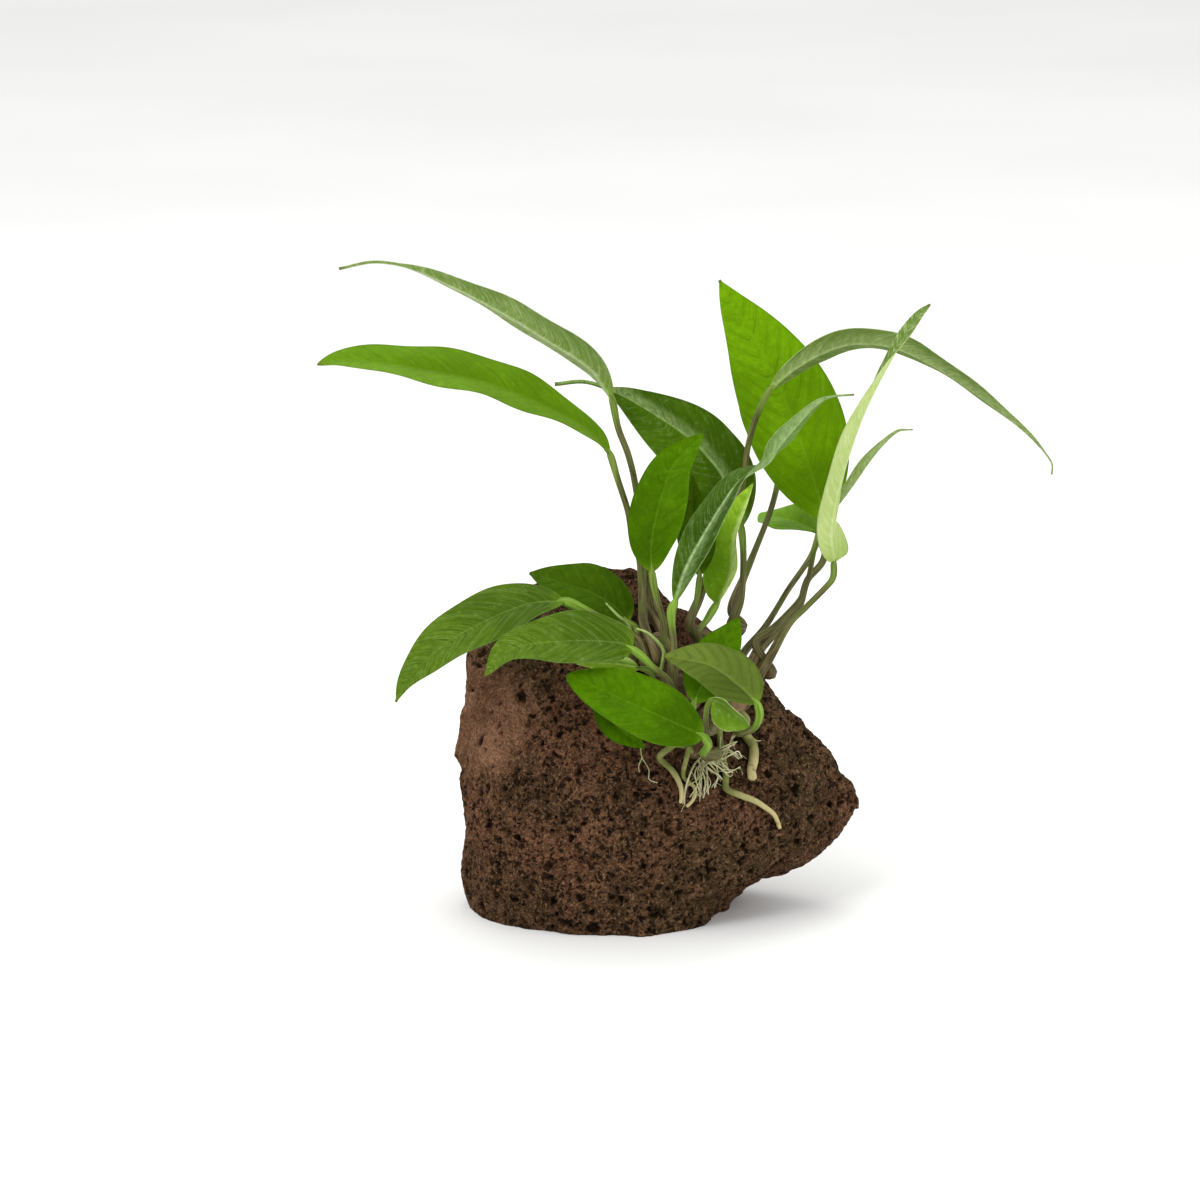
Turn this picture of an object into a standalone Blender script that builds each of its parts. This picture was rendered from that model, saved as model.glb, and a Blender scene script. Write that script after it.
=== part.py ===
"""Anubias on a lava stone: an aquarium plant whose creeping stem sits on the front slope of a porous stone.

Real size in metres, +Z up. The origin is on the bench, under the middle of the stone's flat foot.

The plant is laid out on a plane that leans back by LEAN. A layout point is (across, up, depth) in
millimetres: across runs to +X, up is measured along the leaning plane, depth is world Y (-Y is the front).
Each leaf is two solids, a stalk and a blade. Blades and stalks follow hand-set points; the widths,
the taper, the fold along the midrib and the twist follow from the numbers beside them.
"""

import math

import bmesh
import bpy
import numpy as np
from mathutils import Vector
from mathutils.bvhtree import BVHTree

MM = 0.001
LEAN = math.radians(13.0)
FOOT_RISE = 8.6

GAP = 0.35
BLADE_THICKNESS = 0.6
TIP_WIDTH = 0.9
FLARE_REACH = 0.13
BLADE_ROWS = 8
BLADE_COLUMNS = 4
STALK_POINTS = 8
STALK_SWELL = [1.2, 1.0, 0.9, 0.9, 0.9, 1.0, 1.15, 0.9]
ROOT_POINTS = 12

STONE_VOXEL = 3.0
STONE_LUMP = 3.2
STONE_LUMP_SIZE = 16.0
STONE_GRAIN = 1.4
STONE_GRAIN_SIZE = 5.0
STONE_TRIANGLES = 2300

CREEPER_RADIUS = 3.9

SIGHT = Vector((0.0, math.cos(LEAN), -math.sin(LEAN)))


def layout(across, up, depth):
    """A layout point as a world point in millimetres."""
    height = (up - FOOT_RISE - depth * math.sin(LEAN)) / math.cos(LEAN)
    return Vector((across, depth, height))


def clear_scene():
    for old in list(bpy.data.objects):
        bpy.data.objects.remove(old, do_unlink=True)


def new_collection(name):
    collection = bpy.data.collections.new(name)
    bpy.context.scene.collection.children.link(collection)
    return collection


def new_material(name, color, roughness):
    material = bpy.data.materials.new(name)
    material.use_nodes = True
    shader = material.node_tree.nodes["Principled BSDF"]
    shader.inputs["Base Color"].default_value = (*color, 1.0)
    shader.inputs["Roughness"].default_value = roughness
    shader.inputs["Metallic"].default_value = 0.0
    return material


def keep(obj, material):
    obj.data.materials.append(material)
    plant.objects.link(obj)
    return obj


def evaluated_mesh(obj):
    bpy.context.view_layer.update()
    return bpy.data.meshes.new_from_object(obj.evaluated_get(bpy.context.evaluated_depsgraph_get()))


def smooth_path(points, count):
    """Points evenly spaced along a Catmull-Rom curve through the given ones."""
    ends = [points[0] * 2 - points[1], *points, points[-1] * 2 - points[-2]]
    dense = []
    for i in range(1, len(ends) - 2):
        a, b, c, d = ends[i - 1], ends[i], ends[i + 1], ends[i + 2]
        for step in range(12):
            t = step / 12
            square = (2 * a - 5 * b + 4 * c - d) * t**2
            cube = (3 * b - a - 3 * c + d) * t**3
            dense.append(0.5 * (2 * b + (c - a) * t + square + cube))
    dense.append(points[-1].copy())
    lengths = np.cumsum([0.0] + [(q - p).length for p, q in zip(dense, dense[1:])])
    path = []
    for target in np.linspace(0.0, lengths[-1], count):
        i = min(int(np.searchsorted(lengths, target, side="right")) - 1, len(dense) - 2)
        share = (target - lengths[i]) / max(lengths[i + 1] - lengths[i], 1e-9)
        path.append(dense[i].lerp(dense[i + 1], min(share, 1.0)))
    return path


def tube(name, path, radii, material, sides=1):
    """A closed tube along a path; radii holds one radius for each of its points."""
    curve = bpy.data.curves.new(name, "CURVE")
    curve.dimensions = "3D"
    curve.bevel_depth = MM
    curve.bevel_resolution = sides
    curve.use_fill_caps = True
    spline = curve.splines.new("POLY")
    spline.points.add(len(path) - 1)
    for point, at, radius in zip(spline.points, path, radii):
        point.co = (*(at * MM), 1.0)
        point.radius = radius
    return keep(bpy.data.objects.new(name, curve), material)


def between(values, share):
    """Linear interpolation in an evenly spaced list."""
    return float(np.interp(share, np.linspace(0.0, 1.0, len(values)), values))


# ---------------------------------------------------------------- the stone

STONE_BODY = [
    (-59, 4, 80), (-59.6, 3, 52), (-60, 4, 34), (-59, 4, 18), (-59.5, 2, -8), (-42, 6, 98),
    (-22, 8, 104), (-7, 6, 104.5), (2, 5, 94), (17, 2, 83), (34, 0, 67),
    (-57, -14, 68), (-53, -26, 32), (-44, -26, -8), (-56, -10, -8), (-31, -37, 46), (-38, -20, 84),
    (-28, -34, 8), (-2, -41, 34), (-7, -34, -8), (-7, -34, 60), (-17, -18, 90), (4, -14, 87),
    (24, -33, 34), (12, -24, -8), (20, 8, -8),
    (-44, 30, -8), (-50, 29, 50), (-41, 30, 82), (-20, 26, 97), (0, 24, 87), (20, 20, 74),
    (12, 34, 30), (-12, 38, 42), (6, 30, -8), (-20, 36, -8),
]
STONE_LOBE = [
    (34, 0, 68), (45.6, 1, 58.4), (49.4, 2, 47), (57, 3, 38), (61.4, 4, 30), (59.3, 4, 23), (51, 4, 16.5),
    (36, 4, 9.5), (24, 6, 3), (5, -20, 60), (24, -30, 46), (38, -22, 42), (47, -14, 34), (40, -20, 22),
    (22, -28, 12), (10, 20, 60), (30, 20, 52), (44, 17, 38), (40, 18, 18), (20, 20, 8), (0, 0, 30),
]


def lump(name, corners):
    """A convex lump over the given corners, in millimetres."""
    shape = bmesh.new()
    for corner in corners:
        shape.verts.new(Vector(corner) * MM)
    hull = bmesh.ops.convex_hull(shape, input=shape.verts)
    spare = [v for v in hull["geom_interior"] if isinstance(v, bmesh.types.BMVert)]
    bmesh.ops.delete(shape, geom=spare, context="VERTS")
    mesh = bpy.data.meshes.new(name)
    shape.to_mesh(mesh)
    shape.free()
    guide = bpy.data.objects.new(name, mesh)
    guides.objects.link(guide)
    guide.hide_render = True
    guide.display_type = "WIRE"
    return guide


def displace(obj, name, size, strength):
    noise = bpy.data.textures.new(name, "CLOUDS")
    noise.noise_scale = size * MM
    noise.noise_depth = 1
    bumps = obj.modifiers.new(name, "DISPLACE")
    bumps.texture = noise
    bumps.texture_coords = "LOCAL"
    bumps.strength = strength * MM
    bumps.mid_level = 0.5


def make_stone(material):
    """Two lumps joined, roughened, and cut flat where the stone stands."""
    body = lump("guide_stone_body", STONE_BODY)
    lobe = lump("guide_stone_lobe", STONE_LOBE)
    union = body.modifiers.new("lobe", "BOOLEAN")
    union.operation = "UNION"
    union.solver = "EXACT"
    union.object = lobe
    whole = evaluated_mesh(body)
    whole.name = "lava_stone"
    stone = keep(bpy.data.objects.new("lava_stone", whole), material)

    blocks = stone.modifiers.new("blocks", "REMESH")
    blocks.mode = "VOXEL"
    blocks.voxel_size = STONE_VOXEL * MM
    soften = stone.modifiers.new("soften", "SMOOTH")
    soften.factor = 0.5
    soften.iterations = 6
    displace(stone, "lumps", STONE_LUMP_SIZE, STONE_LUMP * 2)
    displace(stone, "grain", STONE_GRAIN_SIZE, STONE_GRAIN * 2)

    bpy.ops.mesh.primitive_cube_add(size=0.3, location=(0.0, 0.0, -0.15))
    foot = bpy.context.object
    foot.name = "guide_stone_foot"
    for holder in list(foot.users_collection):
        holder.objects.unlink(foot)
    guides.objects.link(foot)
    foot.hide_render = True
    foot.display_type = "WIRE"
    cut = stone.modifiers.new("foot", "BOOLEAN")
    cut.operation = "DIFFERENCE"
    cut.solver = "EXACT"
    cut.object = foot
    return stone


def thin_out(stone, triangles):
    """Decimates the stone above its foot, so that the foot stays flat."""
    bpy.context.view_layer.update()
    count = sum(len(p.vertices) - 2 for p in evaluated_mesh(stone).polygons)
    fewer = stone.modifiers.new("fewer", "DECIMATE")
    fewer.ratio = min(triangles / count, 1.0)
    stone.modifiers.move(len(stone.modifiers) - 1, len(stone.modifiers) - 2)


def surface_of(stone):
    mesh = evaluated_mesh(stone)
    points = [v.co / MM for v in mesh.vertices]
    faces = [tuple(p.vertices) for p in mesh.polygons]
    return BVHTree.FromPolygons(points, faces)


def on_stone(across, up, lift):
    """The point of the stone that lies at this place of the layout, raised along the stone's normal."""
    start = layout(across, up, -150.0)
    hit, normal, _, _ = surface.ray_cast(start, SIGHT)
    if hit is None:
        hit, normal, _, _ = surface.find_nearest(layout(across, up, 0.0))
    return hit + normal * lift


def clear_of_stone(path, radii, gap=GAP):
    """Pushes a path out until a tube of these radii stands clear of the stone."""
    for _ in range(6):
        for i, radius in enumerate(radii):
            near, normal, _, distance = surface.find_nearest(path[i])
            outside = (path[i] - near).dot(normal)
            height = math.copysign(distance, outside)
            if height < radius + gap:
                path[i] = path[i] + normal * (radius + gap - height)
    return path


# ---------------------------------------------------------------- the creeping stem

CREEPERS = {
    "creeper_main": [(7.0, 55.5), (10.5, 60.5), (15.5, 66.5), (21.0, 71.5), (26.5, 76.5)],
    "creeper_left": [(9.0, 68.0), (5.0, 75.0), (0.0, 81.5), (-5.0, 87.0)],
    "creeper_middle": [(16.0, 76.0), (16.5, 82.0), (16.0, 88.0)],
}


def make_creepers(material):
    paths = {}
    for name, places in CREEPERS.items():
        rough = [on_stone(x, up, CREEPER_RADIUS + GAP) for x, up in places]
        count = 4 * len(places) - 3
        path = smooth_path(rough, count)
        swell = [CREEPER_RADIUS * (1.0 + 0.07 * (-1) ** i) for i in range(count)]
        swell[0] = swell[-1] = CREEPER_RADIUS * 0.7
        path = clear_of_stone(path, swell)
        tube(name, path, swell, material, sides=2)
        paths[name] = path
    return paths


def on_creeper(name, share, side):
    """A start for a stalk or root: a place along a creeper, out of its skin towards side."""
    path = creepers[name]
    place = share * (len(path) - 1)
    i = min(int(place), len(path) - 2)
    axis = path[i].lerp(path[i + 1], place - i)
    along = (path[i + 1] - path[i]).normalized()
    out = Vector(side) - along * Vector(side).dot(along)
    out.normalize()
    return axis + out * (CREEPER_RADIUS * 1.07 + GAP), out


# ---------------------------------------------------------------- the leaves


def blade_profile(share, fullness, drip, lead):
    """Half width as a part of the widest, from base (0) to tip (1); past drip runs a thin drip tip."""
    return math.sin(math.pi * min(share / drip, 1.0) ** lead) ** fullness


def make_blade(name, leaf, rows, material):
    """A blade from a grid: folded along the midrib and rolled about it, then thickened."""
    path = smooth_path([layout(*at) for at in leaf["midrib"]], rows + 1)
    lift = math.radians(leaf["fold"])
    sheet = bmesh.new()
    bmesh.ops.create_grid(sheet, x_segments=BLADE_COLUMNS, y_segments=rows, size=1.0)
    for vert in sheet.verts:
        side = vert.co.x
        share = (vert.co.y + 1.0) / 2.0
        i = round(share * rows)
        before = path[max(i - 1, 0)]
        after = path[min(i + 1, rows)]
        along = (after - before).normalized()
        level = along.cross(SIGHT).normalized()
        face = along.cross(level).normalized()
        roll = math.radians(between(leaf["rolls"], share))
        across = level * math.cos(roll) + face * math.sin(roll)
        top = face * math.cos(roll) - level * math.sin(roll)
        fill = blade_profile(share, leaf["fullness"], leaf.get("drip", 1.0), leaf.get("lead", 0.76))
        half = max(leaf["width"] / 2 * fill, TIP_WIDTH / 2)
        if side > 0 and share < FLARE_REACH:
            half += leaf.get("flare", 0) * math.sqrt(1 - (share / FLARE_REACH) ** 2)
        rise = abs(side) * half * math.sin(lift)
        vert.co = (path[i] + across * (side * half * math.cos(lift)) + top * rise) * MM
    mesh = bpy.data.meshes.new(name)
    sheet.to_mesh(mesh)
    sheet.free()
    blade = keep(bpy.data.objects.new(name, mesh), material)
    skin = blade.modifiers.new("skin", "SOLIDIFY")
    skin.thickness = BLADE_THICKNESS * MM
    skin.offset = 0.0
    skin.use_even_offset = False
    return blade


def make_stalk(name, points, radius, material):
    """A stalk from the creeper to the blade's base, thicker where it carries the blade."""
    path = [points[0], *smooth_path(points[1:], STALK_POINTS - 1)]
    end = path[-1]
    path[-1] = end - (end - path[-2]).normalized() * GAP * 2
    radii = [radius * between(STALK_SWELL, i / (STALK_POINTS - 1)) for i in range(STALK_POINTS)]
    return tube(name, path, radii, material)


# Each leaf: the creeper it grows from, the share of its length, the side it leaves by, the stalk's radius,
# the stalk's way and the blade's midrib as layout points, the blade's width, its rolls from base to tip
# (0 faces the front, 90 and -90 stand on edge, 180 shows the underside), the fold and the fullness. flare is
# a lobe on one side of the base.
LEAVES = {
    "top_left": dict(
        creeper="creeper_left", share=0.97, side=(-0.2, 0.6, 1.0), radius=1.1,
        way=[(-3.4, 100, -11.5), (-5, 118, -7.5), (-7.5, 135, -4), (-9.6, 144, -2), (-12.6, 152, -1)],
        midrib=[(-14.4, 160.8, 0), (-20.8, 169.8, 1), (-33, 177.8, 3), (-49, 187.6, 6), (-70, 198, 10),
                (-84, 201.3, 12), (-95.7, 199.4, 13)],
        width=14, rolls=[125, 122, 120, 115], fold=20, fullness=1.0, lead=0.62, drip=0.86,
    ),
    "mid_left": dict(
        creeper="creeper_left", share=0.83, side=(-0.2, -1.0, 0.7), radius=1.1,
        way=[(-5.0, 93, -22), (-5.5, 100, -19), (-6.3, 112.5, -16), (-8.4, 118, -16), (-9.8, 127, -15),
             (-13, 137, -14)],
        midrib=[(-15, 144, -14), (-19, 149, -15), (-28, 154.8, -17), (-39.5, 160.2, -20), (-52, 164.6, -23),
                (-65, 167.2, -26), (-82, 169.8, -29), (-93, 170.4, -31), (-100, 169, -33)],
        width=22, rolls=[66, 56, 56, 58], fold=12, fullness=0.6, lead=1.0,
    ),
    "dark_centre": dict(
        creeper="creeper_middle", share=0.9, side=(0.6, 0.0, 1.0), radius=1.1,
        way=[(21, 93, -12), (24, 101, -8), (24.9, 112.8, -2)],
        midrib=[(24.3, 122.7, 2), (19.2, 137, 4), (14, 144, 5), (8.6, 149.5, 6), (-2, 156.6, 7),
                (-12, 162.2, 8), (-22, 165.9, 9), (-31.5, 165.3, 10)],
        width=24.5, rolls=[-5, -12, -15, 10], fold=24, fullness=0.9, drip=0.8,
    ),
    "bright_centre": dict(
        creeper="creeper_left", share=0.66, side=(0.7, -0.7, 0.6), radius=1.1,
        way=[(1.2, 89, -28), (0.8, 94, -28), (-1.5, 102, -28)],
        midrib=[(-2.7, 109, -27), (-3, 117, -26), (-1.8, 124, -25), (0, 131, -23), (3.6, 140.4, -20),
                (12.6, 150, -17)],
        width=16.5, rolls=[0, 0, -10], fold=12, fullness=0.85,
    ),
    "small_centre": dict(
        creeper="creeper_middle", share=0.35, side=(-0.7, -0.3, 0.8), radius=0.9,
        way=[(8.8, 92, -21.5), (10.6, 101, -20)],
        midrib=[(11.5, 108, -19), (10.5, 117, -17), (9.4, 127, -15), (9.4, 137.4, -13)],
        width=12, rolls=[15, 10, 0], fold=15, fullness=0.95,
    ),
    "twisted": dict(
        creeper="creeper_left", share=0.42, side=(0.0, -1.0, 0.35), radius=1.2,
        way=[(3.0, 82.2, -36), (3.6, 87.3, -35), (2.8, 96.6, -33)],
        midrib=[(3.8, 100, -32), (7.2, 109.8, -32), (11.4, 117.9, -31), (19.8, 131.7, -30),
                (24.3, 136.8, -29),
                (31.2, 141, -27), (34.8, 146.4, -26), (43.8, 156.5, -25), (49, 160, -24),
                (56.3, 160.8, -24)],
        width=14, rolls=[-35, -38, -45, -60, -92, -132, -138, -125], fold=16, fullness=0.95, drip=0.94,
    ),
    "lime": dict(
        creeper="creeper_middle", share=0.1, side=(-0.6, -0.6, 0.3), radius=1.0,
        way=[(11.1, 90.6, -23), (13.8, 95.2, -21)],
        midrib=[(16.4, 99.6, -19), (18.8, 104.4, -17.5), (20.6, 109.8, -16), (20.8, 114.5, -15),
                (21.2, 119.5, -14),
                (23, 125.5, -13), (25.6, 131.5, -12), (27.4, 135.5, -11)],
        width=18, rolls=[-50, -50, -48, -44], fold=34, fullness=0.9, lead=0.6,
    ),
    "broad": dict(
        creeper="creeper_main", share=0.97, side=(0.3, 0.2, 1.0), radius=1.2,
        way=[(30, 86.5, -6), (34, 91, -3), (38.1, 95.5, 0), (42, 99.3, 2), (44.4, 106.8, 5),
             (49.5, 113.4, 9)],
        midrib=[(50.2, 125, 14), (46.5, 137, 16), (42.9, 147.9, 18), (38, 160.8, 21), (30, 177, 25),
                (22, 190, 28), (18, 197.3, 30)],
        width=30, rolls=[0, 5, 10], fold=8, fullness=0.9,
    ),
    "broad_rear": dict(
        creeper="creeper_middle", share=1.0, side=(0.4, 0.6, 1.0), radius=1.0,
        way=[(21.6, 98, 0), (25.4, 107.7, 8), (29.6, 117.6, 15), (34.2, 129.3, 24)],
        midrib=[(37, 141, 31), (35, 152, 36), (32, 164, 42), (28, 174, 48), (24, 180, 55)],
        width=18, rolls=[0, 0, 0], fold=14, fullness=0.95,
    ),
    "low_rear": dict(
        creeper="creeper_main", share=0.8, side=(0.4, 0.1, 1.0), radius=1.0,
        way=[(24.5, 83.5, -2), (32, 93, 5), (39, 104, 13), (46, 114, 20)],
        midrib=[(48.5, 121.5, 24), (43, 124.2, 31), (37, 126.2, 39), (31.5, 127.6, 47)],
        width=20, rolls=[56, 56, 58], fold=10, fullness=0.8,
    ),
    "arching_right": dict(
        creeper="creeper_middle", share=0.72, side=(-0.6, -0.2, 1.0), radius=1.0,
        way=[(8.8, 93, -16), (11.4, 101, -12), (14.8, 110, -9), (20, 122.5, -5), (24.3, 135, -3),
             (26, 146.4, -2),
             (28.4, 155, -3)],
        midrib=[(32, 162.9, -4), (39, 169, -2), (48, 174.3, 2), (58, 177.4, 7), (70, 176.4, 12),
                (82, 171.2, 15), (94.5, 163.2, 16), (109.5, 151.8, 16), (117.5, 143, 15), (118, 138.6, 14)],
        width=13, rolls=[-150, -122, -108, -106, -105], fold=14, fullness=0.9, drip=0.96,
    ),
    "upright_right": dict(
        creeper="creeper_main", share=0.9, side=(0.6, -0.6, 1.0), radius=1.0,
        way=[(32.4, 83.4, -13), (38.1, 93.3, -11), (43.2, 98.4, -9), (49.5, 104.7, -7), (51.6, 107.7, -6)],
        midrib=[(51.6, 112, -6), (50.4, 120.6, -8), (51.9, 131.7, -10), (54.6, 141.3, -11),
                (59.1, 154.5, -12),
                (64.2, 165.3, -12), (70.2, 175.8, -11), (75.6, 183.9, -9), (79.2, 187.8, -8)],
        width=14, rolls=[-150, -124, -114, -112, -108, -100, -84, -58, -50], fold=16, fullness=0.6, flare=6,
    ),
    "narrow_right": dict(
        creeper="creeper_main", share=1.0, side=(0.9, 0.3, 0.8), radius=0.9,
        way=[(28.3, 87.9, -10), (33, 91.8, -8), (37.8, 96.4, -5.4), (42.2, 101.6, -3), (44.3, 107, -1.5),
             (45.4, 112, 0),
             (46.4, 117, 1)],
        midrib=[(48, 121.8, 2), (51, 127, 3), (54.9, 132, 4), (58.5, 136.8, 5), (62.1, 141.9, 6),
                (66.3, 147, 7),
                (71.1, 151.2, 8), (75.6, 151.8, 9)],
        width=10, rolls=[-100, -106, -106], fold=14, fullness=1.0,
    ),
    "drooping_left": dict(
        creeper="creeper_left", share=0.72, side=(-0.9, -1.0, 0.3), radius=1.2,
        way=[(-7, 89, -29), (-12.5, 92.5, -27), (-19.8, 96.6, -24)],
        midrib=[(-28.2, 100.6, -23), (-39, 99.6, -24), (-50.5, 95.2, -27), (-62, 88.9, -30),
                (-70, 82.3, -33),
                (-75, 76.8, -35), (-78, 70.8, -37)],
        width=21.5, rolls=[50, 46, 42, 38], fold=10, fullness=0.9,
    ),
    "shoulder_left": dict(
        creeper="creeper_left", share=0.9, side=(-0.9, 0.3, 0.7), radius=1.0,
        way=[(-7, 91.5, -20)],
        midrib=[(-9.5, 94.2, -19.5), (-14, 99, -18), (-20, 102.8, -15.5), (-27, 105.2, -13.5),
                (-33, 107.2, -11.5),
                (-39, 108.8, -9)],
        width=17, rolls=[20, 22, 30], fold=10, fullness=0.8,
    ),
    "level_left": dict(
        creeper="creeper_left", share=0.12, side=(-0.6, -1.0, 0.1), radius=1.1,
        way=[(2, 77, -41), (-2.5, 81, -41), (-5, 83.5, -40.5)],
        midrib=[(-8.4, 86.4, -40), (-13, 88.3, -41), (-27.6, 88.8, -44), (-43.8, 86.5, -47),
                (-51.6, 78.6, -49)],
        width=20, rolls=[40, 40, 42], fold=12, fullness=0.8, lead=0.62,
    ),
    "front": dict(
        creeper="creeper_main", share=0.0, side=(1.0, -0.8, -0.6), radius=1.1,
        way=[(12, 55.8, -47), (13.6, 58.4, -49)],
        midrib=[(12.3, 61.2, -51), (6.9, 63.6, -52), (-3.6, 68.4, -53), (-15.6, 73.8, -52),
                (-27.9, 78.9, -49)],
        width=20, rolls=[25, 28, 32], fold=10, fullness=0.65, lead=0.85,
    ),
    "olive": dict(
        creeper="creeper_main", share=0.5, side=(0.4, -0.6, -0.8), radius=1.1,
        way=[(23.5, 61.5, -36), (27.4, 63.2, -38), (28.9, 66.8, -39)],
        midrib=[(28.2, 70.5, -39), (25, 74, -40), (21.3, 77, -42), (18, 79.6, -43), (12.5, 82.4, -44),
                (0.6, 84.6, -44)],
        width=16.5, rolls=[158, 152, 148], fold=8, fullness=0.8,
    ),
    "spoon": dict(
        creeper="creeper_main", share=0.22, side=(0.3, -1.0, -0.3), radius=0.9,
        way=[(13.4, 62, -44.5), (13, 67.5, -43.5), (13.8, 70.6, -45)],
        midrib=[(15, 72, -48), (18.5, 70, -49.5), (22, 67, -51), (25.6, 64, -52)],
        width=14, rolls=[50, 50, 50], fold=34, fullness=0.6,
    ),
    "behind_olive": dict(
        creeper="creeper_main", share=0.15, side=(-0.2, -0.9, 0.5), radius=1.0,
        way=[(8.6, 66.5, -41)],
        midrib=[(9.6, 70.6, -39), (12, 76, -35), (16, 84, -31), (20, 90, -28), (23.1, 95.7, -25)],
        width=15, rolls=[0, 5, 5], fold=12, fullness=0.85,
    ),
    "low_front": dict(
        creeper="creeper_main", share=0.12, side=(-1.0, -0.5, 0.6), radius=0.9,
        way=[(-2, 66, -42), (-9, 72.5, -43)],
        midrib=[(-15.5, 73.3, -44.5), (-16.6, 69.5, -46.5), (-13.5, 64.2, -48), (-9, 60.4, -48),
                (-4.8, 57.6, -48)],
        width=9, rolls=[-10, -10, -10], fold=12, fullness=0.8,
    ),
    "sliver": dict(
        creeper="creeper_left", share=0.34, side=(-1.0, -0.4, 0.2), radius=0.9,
        way=[(-3, 79.5, -32)],
        midrib=[(-6.5, 80.8, -33), (-14, 82, -34), (-25, 82.2, -34)],
        width=8, rolls=[45, 45, 45], fold=12, fullness=0.85,
    ),
}

# Thick roots: the creeper, the share, the side, the radii from start to tip, and the layout places
# that they cross.
ROOTS = {
    "root_left": ("creeper_main", 0.05, (-0.9, -0.5, -0.2), (1.0, 1.0, 0.9, 0.5),
                  [(-0.6, 54.4), (2.4, 51.0), (4.6, 48.0), (5.7, 44.4), (5.4, 41.4)]),
    "root_short": ("creeper_main", 0.0, (-0.2, -0.9, -0.8), (0.8, 0.75, 0.6, 0.5),
                   [(6.3, 48.5), (9.2, 45.3), (9.0, 42.5), (7.5, 40.2)]),
    "root_long": ("creeper_main", 0.35, (0.0, -1.0, -0.7), (1.05, 1.05, 0.95, 0.6),
                  [(16.6, 58.0), (18.0, 52.4), (19.2, 48.4), (19.2, 45.0), (20.4, 42.8), (22.8, 42.2),
                   (26.0, 41.9),
                   (30.6, 39.3), (33.2, 36.9), (34.8, 33.6)]),
    "root_right": ("creeper_main", 0.6, (0.3, -1.0, -0.8), (1.2, 1.35, 1.5, 1.35),
                   [(24.6, 59.8), (26.6, 57.0), (26.6, 53.0), (26.4, 50.0), (26.7, 47.2)]),
}

# Fine roots fan out of one small crown. Each runs through places (across, up, rise above the stone).
FINE_CROWN = (11.6, 53.6, 2.6)
FINE_CROWN_RADIUS = 1.3
FINE_RADIUS = 0.34
FINE_ROOTS = [
    [(10.9, 50.0, 2.2), (10.6, 46.0, 1.4), (11.2, 42.5, 0.8)],
    [(12.5, 50.0, 2.5), (13.0, 46.0, 1.6), (13.4, 43.5, 0.8)],
    [(13.6, 51.0, 3.0), (15.4, 48.5, 2.2), (15.6, 45.0, 0.8)],
    [(14.2, 52.8, 4.0), (17.5, 51.5, 4.2), (21.3, 48.5, 2.4)],
    [(14.2, 54.2, 5.0), (18.0, 54.6, 4.8), (22.3, 53.0, 2.6)],
    [(13.4, 56.0, 5.2), (16.6, 57.4, 5.4), (20.0, 57.6, 4.6)],
]

# Thin young shoots: the creeper, the share, the side and the way to the tip as layout points.
SHOOTS = {
    "shoot_left": ("creeper_left", 1.0, (-1.0, -0.6, 0.4), [(-9.3, 92.6, -25), (-13, 96.5, -26.5),
                                                            (-16.2, 99.8, -27)]),
    "shoot_right": ("creeper_left", 0.56, (-0.4, -1.0, 0.2),
                    [(0.4, 82.5, -34), (0.4, 86.6, -34), (-3.6, 90.9, -34), (-7.2, 92.4, -33)]),
}
SHOOT_RADII = (0.65, 0.55, 0.45)


def make_leaf(name, leaf, materials):
    start, out = on_creeper(leaf["creeper"], leaf["share"], leaf["side"])
    way = [layout(*at) for at in leaf["way"]]
    base = layout(*leaf["midrib"][0])
    make_stalk("stalk_" + name, [start, start + out * 2.5, *way, base], leaf["radius"], materials[0])
    rows = BLADE_ROWS if leaf["width"] > 11 else BLADE_ROWS - 2
    make_blade("blade_" + name, leaf, rows, materials[1])


def make_root(name, root, material):
    creeper, share, side, radii, places = root
    start, out = on_creeper(creeper, share, side)
    rough = [start + out * 1.5] + [on_stone(x, up, radii[0] + GAP) for x, up in places]
    path = [start, *smooth_path(rough, ROOT_POINTS - 1)]
    sizes = [between(radii, i / (ROOT_POINTS - 1)) for i in range(ROOT_POINTS)]
    tube(name, clear_of_stone(path, sizes, GAP * 1.6), sizes, material)


def make_fine_roots(name, material):
    """A crown and the thin roots that leave it, joined into one body."""
    across, up, rise = FINE_CROWN
    centre = on_stone(across, up, rise)
    crown_mesh = bpy.data.meshes.new(name)
    ball = bmesh.new()
    bmesh.ops.create_icosphere(ball, subdivisions=1, radius=FINE_CROWN_RADIUS * MM)
    bmesh.ops.translate(ball, verts=ball.verts, vec=centre * MM)
    ball.to_mesh(crown_mesh)
    ball.free()
    crown = keep(bpy.data.objects.new(name, crown_mesh), material)
    for i, places in enumerate(FINE_ROOTS):
        path = smooth_path([centre] + [on_stone(*place) for place in places], 6)
        radii = [FINE_RADIUS * (1.0 - 0.35 * step / 5) for step in range(6)]
        strand = tube(f"guide_fine_root_{i}", path, radii, material)
        solid = evaluated_mesh(strand)
        bpy.data.objects.remove(strand, do_unlink=True)
        weld = bmesh.new()
        weld.from_mesh(solid)
        bmesh.ops.remove_doubles(weld, verts=weld.verts, dist=0.00001)
        weld.to_mesh(solid)
        weld.free()
        guide = bpy.data.objects.new(f"guide_fine_root_{i}", solid)
        guides.objects.link(guide)
        guide.hide_render = True
        guide.display_type = "WIRE"
        union = crown.modifiers.new(f"strand_{i}", "BOOLEAN")
        union.operation = "UNION"
        union.solver = "EXACT"
        union.object = guide


def make_shoot(name, shoot, material):
    creeper, share, side, way = shoot
    start, out = on_creeper(creeper, share, side)
    path = [start, *smooth_path([start + out * 1.5, *[layout(*at) for at in way]], STALK_POINTS - 1)]
    radii = [between(SHOOT_RADII, i / (STALK_POINTS - 1)) for i in range(STALK_POINTS)]
    tube(name, path, radii, material)


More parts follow.
